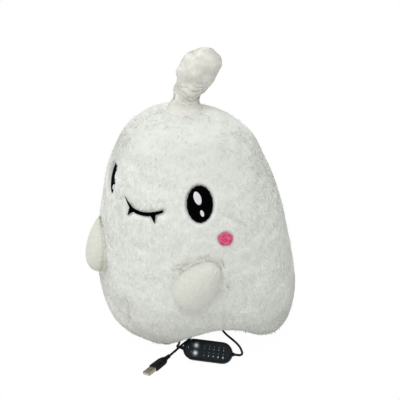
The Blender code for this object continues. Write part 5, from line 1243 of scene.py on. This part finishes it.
def bladesMesh(name, root, nap, out, length, width, lift, random, shade=(0.62, 0.80, 0.92), busy=1.0,
               seam=0.0, paintedShade=0.0):
    # Tapered hairs of three faces each: a pair of corners at the root, a pair half way, one at the tip.
    across = unit(np.cross(nap, out))
    roll = (random.random(len(root)) - 0.5) * 2 * hairs["roll"] * busy
    across = unit(across * np.cos(roll)[:, None] + out * np.sin(roll)[:, None])
    length, width, lift = (np.broadcast_to(v, len(root))[:, None] for v in (length, width, lift))
    low = root - out * hairs["sink"]
    tip = root + nap * length
    centre, _ = nearestTuft(tip, hairs["gatherSize"], 41)
    towards = centre - tip
    towards = towards - out * np.sum(towards * out, axis=1, keepdims=True)
    tip = tip + towards * hairs["gather"] + out * lift
    half = root + (tip - root) * 0.5 + out * lift * 0.30
    corners = np.stack([low - across * width * 0.35, low + across * width * 0.35, half - across * width * 0.5,
                        half + across * width * 0.5, tip], axis=1)
    corners[..., 2] = np.maximum(corners[..., 2], hairs["floor"])
    first = np.arange(len(root)) * 5
    quads = np.stack([first, first + 1, first + 3, first + 2], axis=-1)
    tips = np.stack([first + 2, first + 3, first + 4], axis=-1)
    mesh = meshFrom(name, corners.reshape(-1, 3), quads, tips)
    tone = (random.random(len(root)) - 0.5) * hairs["tone"] * busy
    # Painted shade: the pile value rises from root to tip so the roots render darker, and is lowered further
    # on the crown and near the hem.
    setAttribute(mesh, "pile", np.stack([shade[k] + tone + paintedShade for k in (0, 0, 1, 1, 2)], axis=1))
    setAttribute(mesh, "busy", np.repeat(np.broadcast_to(busy, len(root)), 5))
    setAttribute(mesh, "seam", np.repeat(np.broadcast_to(seam, len(root)), 5))
    return mesh


def scatter(count, middle, random):
    # Turns and heights spread evenly over half the body: cells chosen by area, then a place in each.
    heights = evenHeights(240)
    turn = middle + np.linspace(-math.pi / 2, math.pi / 2, 200)
    t, h = np.meshgrid(turn, heights)
    grid = dollSurface(t, h)
    across = grid[:-1, 1:] - grid[:-1, :-1]
    above = grid[1:, :-1] - grid[:-1, :-1]
    area = np.linalg.norm(np.cross(across, above), axis=-1).ravel()
    cell = random.choice(len(area), size=count, p=area / area.sum())
    row, column = np.divmod(cell, t.shape[1] - 1)
    a, b = random.random(count), random.random(count)
    height = heights[row] + (heights[row + 1] - heights[row]) * a
    angle = turn[column] + (turn[1] - turn[0]) * b
    return (angle + math.pi) % (2 * math.pi) - math.pi, np.minimum(height, doll["height"] * 0.9999)


def makePile(name, middle, seed):
    random = np.random.default_rng(seed)
    turn, height = scatter(hairs["count"], middle, random)
    at, side, up, out = surfaceFrames(turn, height)
    rise, _, edge = coatRise(at, turn, height)
    root = at + out * rise[:, None]
    swirl = hairs["swirl"] * softNoise(at, hairs["swirlSize"], 51)
    swirl = swirl + hairs["stray"] * random.standard_normal(len(at))
    nap = unit(side * np.sin(swirl)[:, None] - up * np.cos(swirl)[:, None])
    length = hairs["length"] * (0.7 + 0.6 * random.random(len(at)))
    length = length * (0.30 + 0.70 * smoothStep(edge, 0.0, 0.008))
    tipTurn, tipHeight = turnAndHeight(root + nap * length[:, None])
    tipEdge, _ = threadField(tipTurn, tipHeight)
    overEye = (turn < -0.5) & (height > 0.17)
    keep = (edge > 0.0006) & (tipEdge > np.where(overEye, -0.0035, 0.0002))
    width = hairs["width"] * (0.7 + 0.6 * random.random(len(at)))
    busy = busyness(height)
    lift = hairs["lift"] * (0.5 + random.random(len(at)))
    lift = lift * (0.35 + 0.65 * smoothStep(edge, 0.0, 0.008)) * busy
    share, reach = hairs["wisps"]
    lift = lift + reach * (random.random(len(at)) < share) * smoothStep(edge, 0.004, 0.010)
    seam = 0.8 * seamAndCreaseShade(turn, height)
    mesh = bladesMesh(name, root[keep], nap[keep], out[keep], length[keep], width[keep], lift[keep], random,
                      busy=busy[keep], seam=seam[keep], paintedShade=paintedShadePile(height[keep]) - 0.78)
    addPiece(name, mesh, whiteFur)


def makeHemFringe():
    # Longer tufts that hang past the lower edge, in ragged clumps.
    random = np.random.default_rng(8)
    count = hairs["hemCount"]
    turn = np.concatenate([(random.random(count - hairs["hemFront"]) * 2 - 1) * math.pi,
                           0.26 + 0.26 * random.standard_normal(hairs["hemFront"])])
    height = 0.0015 + 0.010 * random.random(count) ** 1.5
    front = np.exp(-((turn - 0.26) / 0.30) ** 2)
    at, side, up, out = surfaceFrames(turn, height)
    rise, _, _ = coatRise(at, turn, height)
    clump = softNoise(at, 0.0075, 53)
    nap = unit(side * (0.5 * clump + 0.25 * random.standard_normal(count))[:, None] - up + out * 0.25)
    share = 0.45 + (0.45 + 0.6 * front) * clump + 0.25 * random.random(count)
    length = hairs["hemLength"] * np.clip(share, 0.12, 1.5)
    # Their low pile values and the tan at the front are painted shade under the hem.
    mesh = bladesMesh("hem_fringe", at + out * rise[:, None], nap, out, length, 0.0010, 0.0006, random,
                      (0.3, 0.3, 0.5), seam=0.35 * front)
    addPiece("hem_fringe", mesh, whiteFur)


makePile("front_pile", 0.0, 5)
makePile("back_pile", math.pi, 6)
makeHemFringe()
print("pile raised")


# The topknot: levels are, in millimetres, height over the crown, shift along its wide way, half its width
# and half its depth; bumps are (turn, height, amount, half turn, half height)
topknot = {"levels": [(-16, -1.5, 33, 31), (-6, -1.2, 28, 26), (-2, -1.0, 25, 23),
                      (1.5, -0.9, 22.4, 20.3), (4, -0.8, 20.8, 18.6), (7.5, -0.6, 19.6, 17.4),
                      (14.3, 2.3, 20.0, 17.5), (22.1, 6.4, 21.8, 18.4), (28.6, 9.8, 24.0, 20),
                      (35.2, 13.2, 25.8, 21.2), (44.3, 15.9, 26.6, 22.1), (52.1, 17.6, 27.6, 22.6),
                      (59.9, 21.4, 27.2, 22.0), (66.4, 22.4, 22.5, 19), (71.6, 24.2, 15.6, 14),
                      (76.9, 27.0, 8.2, 7.5), (80.6, 28.4, 0, 0)], "x": 0.002, "azimuth": 33.55,
           "columns": 170, "rows": 120, "inset": 0.0008, "lumps": (0.0026, 0.0130),
           "smallLumps": (0.0013, 0.0085), "tuft": 0.0004, "foldDepth": 0.0013, "tanAndShade": 0.08,
           "bumps": [(180, 0.047, 0.0020, 26, 0.0050), (186, 0.058, -0.0010, 30, 0.0040),
                     (168, 0.067, 0.0010, 24, 0.0035), (2, 0.060, -0.0014, 26, 0.0040),
                     (-60, 0.050, 0.0016, 30, 0.0070), (-110, 0.036, -0.0016, 28, 0.0060)],
           "foldPitch": 0.0072, "foldReach": 0.027, "hairs": 9000, "hairLength": 0.0030,
           "hairLift": 0.0001, "hairTurn": 0.021, "hairRise": 0.115}


def topknotForm(turn, share):
    # An oval ring at each level, walked in equal steps along the wide side's outline.
    levels = np.array(topknot["levels"]) / 1000
    walked = np.concatenate([[0], np.cumsum(np.hypot(np.diff(levels[:, 0]), np.diff(levels[:, 2])))])
    stops = np.linspace(0, walked[-1], 200)
    smooth = np.stack([np.interp(stops, walked, levels[:, k]) for k in range(4)], axis=-1)
    kernel = np.hanning(13) / np.hanning(13).sum()
    smooth = np.stack([np.convolve(np.pad(smooth[:, k], 6, mode="edge"), kernel, mode="valid")
                       for k in range(4)], -1)
    smooth[-1, 2:] = 0
    stop = np.clip(share, 0, 1) * walked[-1]
    z, shift, wide, deep = (np.interp(stop, stops, smooth[:, k]) for k in range(4))
    a = math.radians(topknot["azimuth"])
    u, v = shift + wide * np.cos(turn), deep * np.sin(turn)
    x = u * math.cos(a) - v * math.sin(a) + topknot["x"]
    y = u * math.sin(a) + v * math.cos(a) - doll["lean"] + setBack
    return np.stack([x, y, z + doll["height"] - doll["hemFlat"]], -1)


def topknotFrames(turn, share):
    step = 3e-3
    lower = np.minimum(share, 0.97)
    at = topknotForm(turn, share)
    side = unit(topknotForm(turn + step, lower) - topknotForm(turn - step, lower))
    up = unit(topknotForm(turn, lower + step) - topknotForm(turn, lower - step))
    out = unit(np.cross(side, up))
    return at, side, np.cross(out, side), out


def topknotRise(at, turn, share):
    # Broad and small lumps, and slanting folds where the neck is gathered; its colour values carry painted
    # shade and light.
    centre, away = nearestTuft(at, 0.0070, 63)
    tuft = 1 - np.clip(away, 0, 1) ** 2
    above = at[:, 2] - doll["height"]
    across = at[:, 0] * math.cos(0.6) + at[:, 1] * math.sin(0.6)
    slant = above + 0.35 * across + 0.010 * softNoise(at, 0.015, 64)
    fold = 0.5 + 0.5 * np.cos(2 * math.pi * slant / topknot["foldPitch"])
    fold = topknot["foldDepth"] * fold ** 2 * np.exp(-((above - 0.008) / topknot["foldReach"]) ** 4)
    fold = fold * smoothStep(above, 0.003, 0.012)
    free = smoothStep(above, 0.002, 0.014)
    bumps = np.zeros_like(above)
    for middle, level, high, wide, tall in topknot["bumps"]:
        apart = (np.degrees(turn) - middle + 180) % 360 - 180
        bumps += high * np.exp(-(apart / wide) ** 2 - ((above - level) / tall) ** 2)
    lumps = (topknot["lumps"][0] * softNoise(at, topknot["lumps"][1], 61)
             + topknot["smallLumps"][0] * softNoise(at, topknot["smallLumps"][1], 62)) * free + bumps
    rise = lumps - topknot["inset"] - fold + topknot["tuft"] * (tuft - 0.6)
    rooted = 1.35 - 0.35 * smoothStep(above, 0.0, 0.014)
    # The tan amount: the topknot's even cream tint, painted shade in the hollows between lumps, and tan in
    # the folds on the side turned from the lamps, where it is partly stained and partly in painted shade.
    tanAndShade = topknot["tanAndShade"] + 0.20 * smoothStep(-lumps, 0.0, 0.003)
    tanAndShade = tanAndShade + 110 * fold * smoothStep(np.cos(turn), -0.2, 1)
    # Painted shade and light: pile is lower in the folds and hollows and higher on the lumps.
    pile = np.clip(0.84 + 0.16 * tuft - 90 * fold + 70 * lumps, 0, 1) * rooted
    return rise, pile, np.clip(tanAndShade, 0, 0.6) * free


def makeTopknot():
    turn = np.linspace(0, 2 * math.pi, topknot["columns"], endpoint=False)
    share = np.linspace(0, 0.985, topknot["rows"])
    t, s = np.meshgrid(turn, share)
    at, side, up, out = topknotFrames(t.ravel(), s.ravel())
    rise, pile, tanAndShade = topknotRise(at, t.ravel(), s.ravel())
    points = at + out * rise[:, None]
    ring = np.arange(len(points) - len(turn), len(points))
    top = points[ring].mean(axis=0) + [0, 0, 0.0006]
    points = np.vstack([points, top, points[:len(turn)].mean(axis=0)])
    caps = np.vstack([fanTriangles(ring, len(points) - 2),
                      fanTriangles(np.arange(len(turn)), len(points) - 1, True)])
    mesh = meshFrom("topknot_coat", points, gridQuads(len(share), len(turn), closed=True), caps)
    setAttribute(mesh, "pile", np.concatenate([pile, [0.8, 0.2]]))
    setAttribute(mesh, "busy", np.ones(len(points)))
    setAttribute(mesh, "seam", np.concatenate([tanAndShade, [0, 0]]))
    piece = addPiece("topknot_coat", mesh, creamFur)
    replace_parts(piece, "topknot")
    random = np.random.default_rng(7)
    count = topknot["hairs"]
    share = 0.13 + 0.80 * random.random(count)
    turn = random.random(count) * 2 * math.pi
    at, side, up, out = topknotFrames(turn, share)
    rise, _, tanAndShade = topknotRise(at, turn, share)
    swirl = 0.8 * softNoise(at, 0.02, 66) + 0.5 * random.standard_normal(count)
    root = at + out * rise[:, None]
    step = topknot["hairLength"]
    nextTurn = turn + step * np.sin(swirl) / topknot["hairTurn"]
    nextShare = np.minimum(share + step * np.cos(swirl) / topknot["hairRise"], 0.97)
    at, side, up, out = topknotFrames(nextTurn, nextShare)
    nap = unit(at + out * topknotRise(at, nextTurn, nextShare)[0][:, None] - root)
    mesh = bladesMesh("topknot_pile", root, nap, out, step * (0.7 + 0.6 * random.random(count)),
                      hairs["width"], topknot["hairLift"] * (0.5 + random.random(count)), random,
                      (0.80, 0.92, 1.0), busy=0.5, seam=tanAndShade)
    addPiece("topknot_pile", mesh, creamFur)


makeTopknot()
print("topknot made")


# The arms
armCloth = {"columns": 132, "rows": 96, "creaseDepth": 0.0005, "creaseCount": 9, "lump": 0.0007,
            "rootHairs": 1500, "sizes": {"cloth": 1.0, "filling": 0.88}}


def makeArm(name, side, body, layer="cloth"):
    # An egg, narrower and blunter at its root, drawn into creases where it is sewn on.
    shape = armShape(side)
    half = np.array([shape["length"], shape["width"], shape["depth"]]) / 2 * armCloth["sizes"][layer]
    at, axes = armFrame(side)
    turn = np.linspace(0, 2 * math.pi, armCloth["columns"], endpoint=False)
    sweep = np.linspace(0.02, math.pi - 0.02, armCloth["rows"])
    t, s = np.meshgrid(turn, sweep)
    x = -np.cos(s)
    ring = np.sin(s) ** np.where(x > 0, shape["blunt"], 1.0)
    taper = 1 - shape["taper"] * x
    local = (np.stack([x, ring * np.cos(t) * taper, ring * np.sin(t) * taper], axis=-1) * half).reshape(-1, 3)
    t, x, ring = t.ravel(), x.ravel(), ring.ravel()
    out = unit(local / half ** 2)
    crease = np.abs(np.cos(armCloth["creaseCount"] / 2 * t + 1.1 * softNoise(local, 0.02, 71))) ** 3
    rise = armCloth["lump"] * softNoise(local, 0.017, 72) - armCloth["creaseDepth"] * crease * np.exp(
        -((1 - x) / 0.42) ** 2) - 0.0004 * np.exp(-((t % math.pi) / 0.05) ** 2)
    local = local + out * rise[:, None]
    points = at + local @ axes
    count = armCloth["columns"]
    points = np.vstack([points, points[:count].mean(axis=0), points[-count:].mean(axis=0)])
    last = len(points) - 2
    caps = endCaps(count, last)
    mesh = meshFrom(name, points, gridQuads(armCloth["rows"], count, closed=True), caps)
    mesh.flip_normals()
    beside = np.sin(t) * np.maximum(ring, 0.1)
    edge = np.exp(-(beside / 0.10) ** 2) * (0.25 + 0.75 * smoothStep(-x, 0.15, 0.8))
    pucker = 0.5 + 0.5 * np.sin(44 * x + 5 * softNoise(local, 0.02, 73))
    near = np.exp(-(beside / 0.30) ** 2) * smoothStep(-x, 0.2, 0.8)
    seam = np.clip(0.45 * edge + 0.30 * near * pucker ** 3, 0, 1)
    setAttribute(mesh, "seam", np.concatenate([seam, [0, 0.3]]))
    if layer == "filling":
        return addPiece(name, mesh, finishMaterial("filling"), body=body)
    piece = addPiece(name, mesh, creamVelboa, body=body)
    return piece


def makeRootHairs(name, side, seed):
    # Longer fur round the place where an arm is sewn on, brushed over the seam.
    random = np.random.default_rng(seed)
    count = armCloth["rootHairs"]
    spin = 2 * math.pi * random.random(count)
    centre, axes = armFrame(side)
    ring = 1.0 + 0.16 * random.random(count)
    x = np.where(np.cos(spin) > -0.2, np.cos(spin), -0.2 - 0.5 * (np.cos(spin) + 0.2))
    wide = np.sin(spin) * ring * arm["width"] / 2 * (1 - arm["taper"] * x)
    local = np.stack([x * ring * arm["length"] / 2, wide, np.zeros(count)], axis=-1)
    turn, height = turnAndHeight(centre + local @ axes)
    at, sideways, up, out = surfaceFrames(turn, height)
    rise, _, _ = coatRise(at, turn, height)
    root = at + out * rise[:, None]
    towards = centre - root
    nap = unit(towards - out * np.sum(towards * out, axis=1, keepdims=True) + out * 0.012 * 0.4)
    nap = unit(nap + 0.5 * random.standard_normal((count, 1)) * np.cross(nap, out))
    mesh = bladesMesh(name, root, nap, out, 0.0050 * (0.6 + 0.8 * random.random(count)), 0.0009,
                      0.0022 * random.random(count), random)
    addPiece(name, mesh, whiteFur)


for name, side, seed in (("left_arm", 1, 31), ("right_arm", -1, 32)):
    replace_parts(makeArm(f"{name}_cloth", side, name), f"{name}_skin")
    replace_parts(makeArm(f"{name}_stuffing", side, name, "filling"), f"{name}_filling")
    makeRootHairs(f"{name}_root_fur", side, seed)
print("arms sewn on")


# Stitched pieces

def makePatch(name, node, material, turn, height, offset, half, tilt, level, pile, border=0.12,
              spiral=0.0):
    # An oval of thread laid on the fur: rings of corners whose height follows a domed top and a rolled edge.
    rings, steps = 30, 96
    r = np.linspace(0.02, 1, rings)
    a = np.linspace(0, 2 * math.pi, steps, endpoint=False)
    angle, radius = np.meshgrid(a, r)
    ragged = 1 + (0.012 * np.sin(17 * angle) + 0.012 * np.sin(31 * angle + 1)
                  + (0.045 if spiral else 0) * np.sin(5 * angle + 0.6)) * radius ** 6
    u, v = radius * ragged * np.cos(angle) * half[0], radius * ragged * np.sin(angle) * half[1]
    lean = math.radians(tilt)
    across = offset[0] + u * math.cos(lean) + v * math.sin(lean)
    up = offset[1] - u * math.sin(lean) + v * math.cos(lean)
    ridge = np.exp(-((radius - 1 + border) / (border * 0.7)) ** 2)
    curl = np.cos(2 * math.pi * radius * 2.1 + angle + 0.9 * np.sin(3 * angle + 4 * radius))
    curl = (0.45 * curl + 0.75 * softNoise(np.stack([u, v, u * 0], axis=-1), 0.0026, 92)) * (1 - radius ** 8)
    rise = level + pile * (0.72 + 0.28 * ridge) * np.sqrt(np.clip(1 - radius ** 10, 0, 1)) + spiral * curl
    points = layOnFur(turn, height, across, up, rise)
    skirt = layOnFur(turn, height, across[-1], up[-1], np.full(steps, level - 0.0010))
    middle = layOnFur(turn, height, np.array(offset[0]), np.array(offset[1]), np.array(rise[0].mean()))
    corners = np.vstack([points.reshape(-1, 3), skirt, middle[None]])
    caps = fanTriangles(np.arange(steps), len(corners) - 1)[:, ::-1]
    mesh = meshFrom(name, corners, gridQuads(rings + 1, steps, closed=True)[:, ::-1], caps)
    rim = np.stack([u[-1], v[-1] - 0.001], -1)
    setUv(mesh, np.vstack([np.stack([u.ravel(), v.ravel()], -1), rim, [[0, 0]]]) * 10)
    # On the cheek, curl paints shade and light along the thread's coils.
    shade = 0.5 + 0.5 * curl.ravel() if spiral else np.full(curl.size, 0.5)
    setAttribute(mesh, "curl", np.concatenate([shade, np.full(steps + 1, 0.3)]))
    piece = addPiece(name, mesh, material)
    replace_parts(piece, node)


def makeMouth():
    # Satin stitch along lines drawn on the face: a low rounded section carried along each.
    section = np.linspace(0, math.pi, 11)
    corners, quads, uv, start = [], [], [], 0
    for route, width in strokes():
        along = unit(np.gradient(route, axis=0))
        normal = np.stack([-along[:, 1], along[:, 0]], axis=-1)
        spread = np.cos(section)[None] * width[:, None] / 2
        x = route[:, 0, None] + normal[:, 0, None] * spread
        z = route[:, 1, None] + normal[:, 1, None] * spread
        arch = face["pile"] * np.sin(section)[None] * np.minimum(1, width[:, None] / 0.002)
        turn = x / halfWidth(z)
        at, side, up, out = surfaceFrames(turn, z)
        rise = clothRise(turn, z) - face["mouthDepth"] - 0.0008 + arch * 1.8
        corners.append((at + out * rise[..., None]).reshape(-1, 3))
        quads.append(gridQuads(len(route), len(section)) + start)
        start += len(corners[-1])
        walked = walkedAlong(route)
        uv.append(np.stack([np.repeat(walked, len(section)), np.tile(section / 300, len(route))], -1))
    mesh = meshFrom("mouth_stitch", np.vstack(corners), np.vstack(quads))
    setUv(mesh, np.vstack(uv) * 10)
    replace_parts(addPiece("mouth_stitch", mesh, blackThread), "mouth")


def makeFace():
    pile = face["pile"]
    for which, (name, side) in enumerate((("left", 1), ("right", -1))):
        turn = math.radians(face["eyeTurns"][which])
        height, wide, high, tilt = face["eye"]
        level = -face["eyeDepth"][which]
        makePatch(f"{name}_eye_stitch", f"{name}_eye", blackThread, turn, height, (0, 0),
                  (wide, high), side * tilt, level, pile)
        for k, label in enumerate(("large", "small")):
            across, up, wide, high, lean = face[f"{label}Glint"]
            across = across - (face["farShift"][k] if side < 0 else 0)
            makePatch(f"{name}_{label}_glint_stitch", f"{name}_eye_{label}_glint",
                      whiteThread, turn, height, (side * across, up), (wide, high),
                      side * lean, level + pile * 0.6, 0.0007, 0.2)
        height, wide, high, tilt = face["cheek"]
        makePatch(f"{name}_cheek_stitch", f"{name}_cheek", pinkThread,
                  side * math.radians(face["cheekTurn"]), height, (0, 0), (wide, high), tilt,
                  -face["cheekDepth"][which], pile * 1.4, spiral=0.0004)
    makeMouth()


makeFace()
print("face stitched")


# The base cloth and its stitches
baseCloth = {"slotCentre": (-0.008, 0.006), "slotHalf": (0.0502, 0.0052), "slotCorner": 10.0,
             "rings": 64, "columns": 240, "turnUp": 0.0022, "pucker": 0.0007,
             "stitchPitch": 0.0034, "stitchLength": 0.0025, "stitchWidth": 0.0007,
             "rows": (0.0028, 0.0060), "rimShare": 0.90}


def baseZ(x, y):
    turn = np.arctan2(x, -(y - setBack))
    rim = baseSurface(turn, np.ones_like(turn))
    share = np.hypot(x, y - setBack) / np.hypot(rim[..., 0], rim[..., 1] - setBack)
    z = baseHeight(share, dollSurface(turn, np.zeros_like(turn))[..., 2])
    ripple = baseCloth["pucker"] * softNoise(np.stack([x, y, z], -1), 0.024, 81)
    return z + ripple * smoothStep(share, 0.35, 0.7)


def slotPoint(turn, grow):
    # The zip slot's outline: a superellipse, |cos| and |sin| to a small power, grown by an even margin.
    power = 2 / baseCloth["slotCorner"]
    a, b = (v + grow for v in baseCloth["slotHalf"])
    x, y = baseCloth["slotCentre"]
    return np.stack([x + a * squared(np.sin(turn), power),
                     y + setBack - b * squared(np.cos(turn), power)], -1)


def slotTurns(count):
    # Directions round the slot that put its corners at even steps along it.
    fine = np.linspace(-math.pi, math.pi, 8001)
    at = slotPoint(fine, 0.02)
    walked = walkedAlong(at)
    return np.interp(np.linspace(0, walked[-1], count, endpoint=False), walked, fine)


def makeBaseCloth():
    # Rings that run from the turned-up edge of the zip slot out to the hem.
    turn = slotTurns(baseCloth["columns"])
    slot = slotPoint(turn, 0.0)
    rim = baseSurface(turn, np.full_like(turn, 0.985))[..., :2]
    share = np.linspace(0, 1, baseCloth["rings"]) ** 1.15
    flat = slot[None] * (1 - share[:, None, None]) + rim[None] * share[:, None, None]
    z = baseZ(flat[..., 0], flat[..., 1])
    body = np.concatenate([flat, z[..., None]], axis=-1)
    edge = []
    for down, grow in ((1.0, 0.0), (0.7, 0.0), (0.35, 0.0001)):
        ring = np.concatenate([slotPoint(turn, grow - 0.0004),
                               (z[0] + down * baseCloth["turnUp"])[:, None]], axis=-1)
        edge.append(ring)
    points = np.concatenate([np.stack(edge), body]).reshape(-1, 3)
    mesh = meshFrom("base_cloth", points,
                    gridQuads(baseCloth["rings"] + 3, baseCloth["columns"], closed=True)[:, ::-1])
    setUv(mesh, points[:, :2])
    piece = addPiece("base_cloth", mesh, baseWeave)
    shell = piece.modifiers.new("thickness", "SOLIDIFY")
    shell.thickness, shell.offset = 0.0008, -1.0
    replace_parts(piece, "base_panel")


def stitchMesh(name, starts, ends, normals, width):
    # Each stitch arches from its start to its end: five stations of a half round section.
    s = np.linspace(0, 1, 5)[None, :, None, None]
    a = np.linspace(0, math.pi, 5)[None, None, :, None]
    start, end, normal = (v[:, None, None, :] for v in (starts, ends, normals))
    side = unit(np.cross(end - start, normal))
    arch = np.sin(math.pi * s) ** 0.5
    points = (start + (end - start) * s + side * np.cos(a) * width / 2 * (0.4 + 0.6 * arch)
              + normal * (np.sin(a) * width * 0.7 * arch - 0.00012))
    quads = gridQuads(5, 5)[None] + (np.arange(len(starts)) * 25)[:, None, None]
    return meshFrom(name, points.reshape(-1, 3), quads.reshape(-1, 4))


def stitchesAlong(line):
    # Starts and ends of stitches at an even pitch along a closed line of points.
    loop = np.vstack([line, line[:1]])
    walked = walkedAlong(loop)
    count = int(walked[-1] / baseCloth["stitchPitch"])
    first = np.arange(count) * walked[-1] / count
    pick = lambda stops: np.stack([np.interp(stops, walked, loop[:, k]) for k in range(3)], axis=-1)
    return pick(first), pick(first + baseCloth["stitchLength"])


def makeBaseStitches():
    turn = slotTurns(400)
    lines = []
    for grow in baseCloth["rows"]:
        flat = slotPoint(turn, grow)
        lines.append(np.column_stack([flat, baseZ(flat[:, 0], flat[:, 1])]))
    rimTurns = np.linspace(-math.pi, math.pi, 500, endpoint=False)
    ring = baseSurface(rimTurns, np.full_like(rimTurns, baseCloth["rimShare"]))
    lines.append(np.column_stack([ring[:, :2], baseZ(ring[:, 0], ring[:, 1])]))
    pairs = [stitchesAlong(line) for line in lines]
    starts, ends = (np.vstack([pair[k] for pair in pairs]) for k in (0, 1))
    normals = np.broadcast_to([0.0, 0.0, -1.0], starts.shape)
    mesh = stitchMesh("base_stitches", starts, ends, normals, baseCloth["stitchWidth"])
    addPiece("base_stitches", mesh, paleThread)


makeBaseCloth()
makeBaseStitches()
print("base cloth stitched")


# Finishes for the CAD nodes that stay
def dressNodes():
    for name, node in nodes.items():
        slot = node.data.materials[0].name
        if name in buttonCentres:
            node.data.materials[0] = buttonMaterial(name, buttonCentres[name])
        elif slot in finishes:
            node.data.materials[0] = finishMaterial(slot)
        elif slot in dressed:
            node.data.materials[0] = dressed[slot]


dressNodes()
print("finishes laid on the nodes that stay")


# The number of pieces made
print("pieces", len(finished))
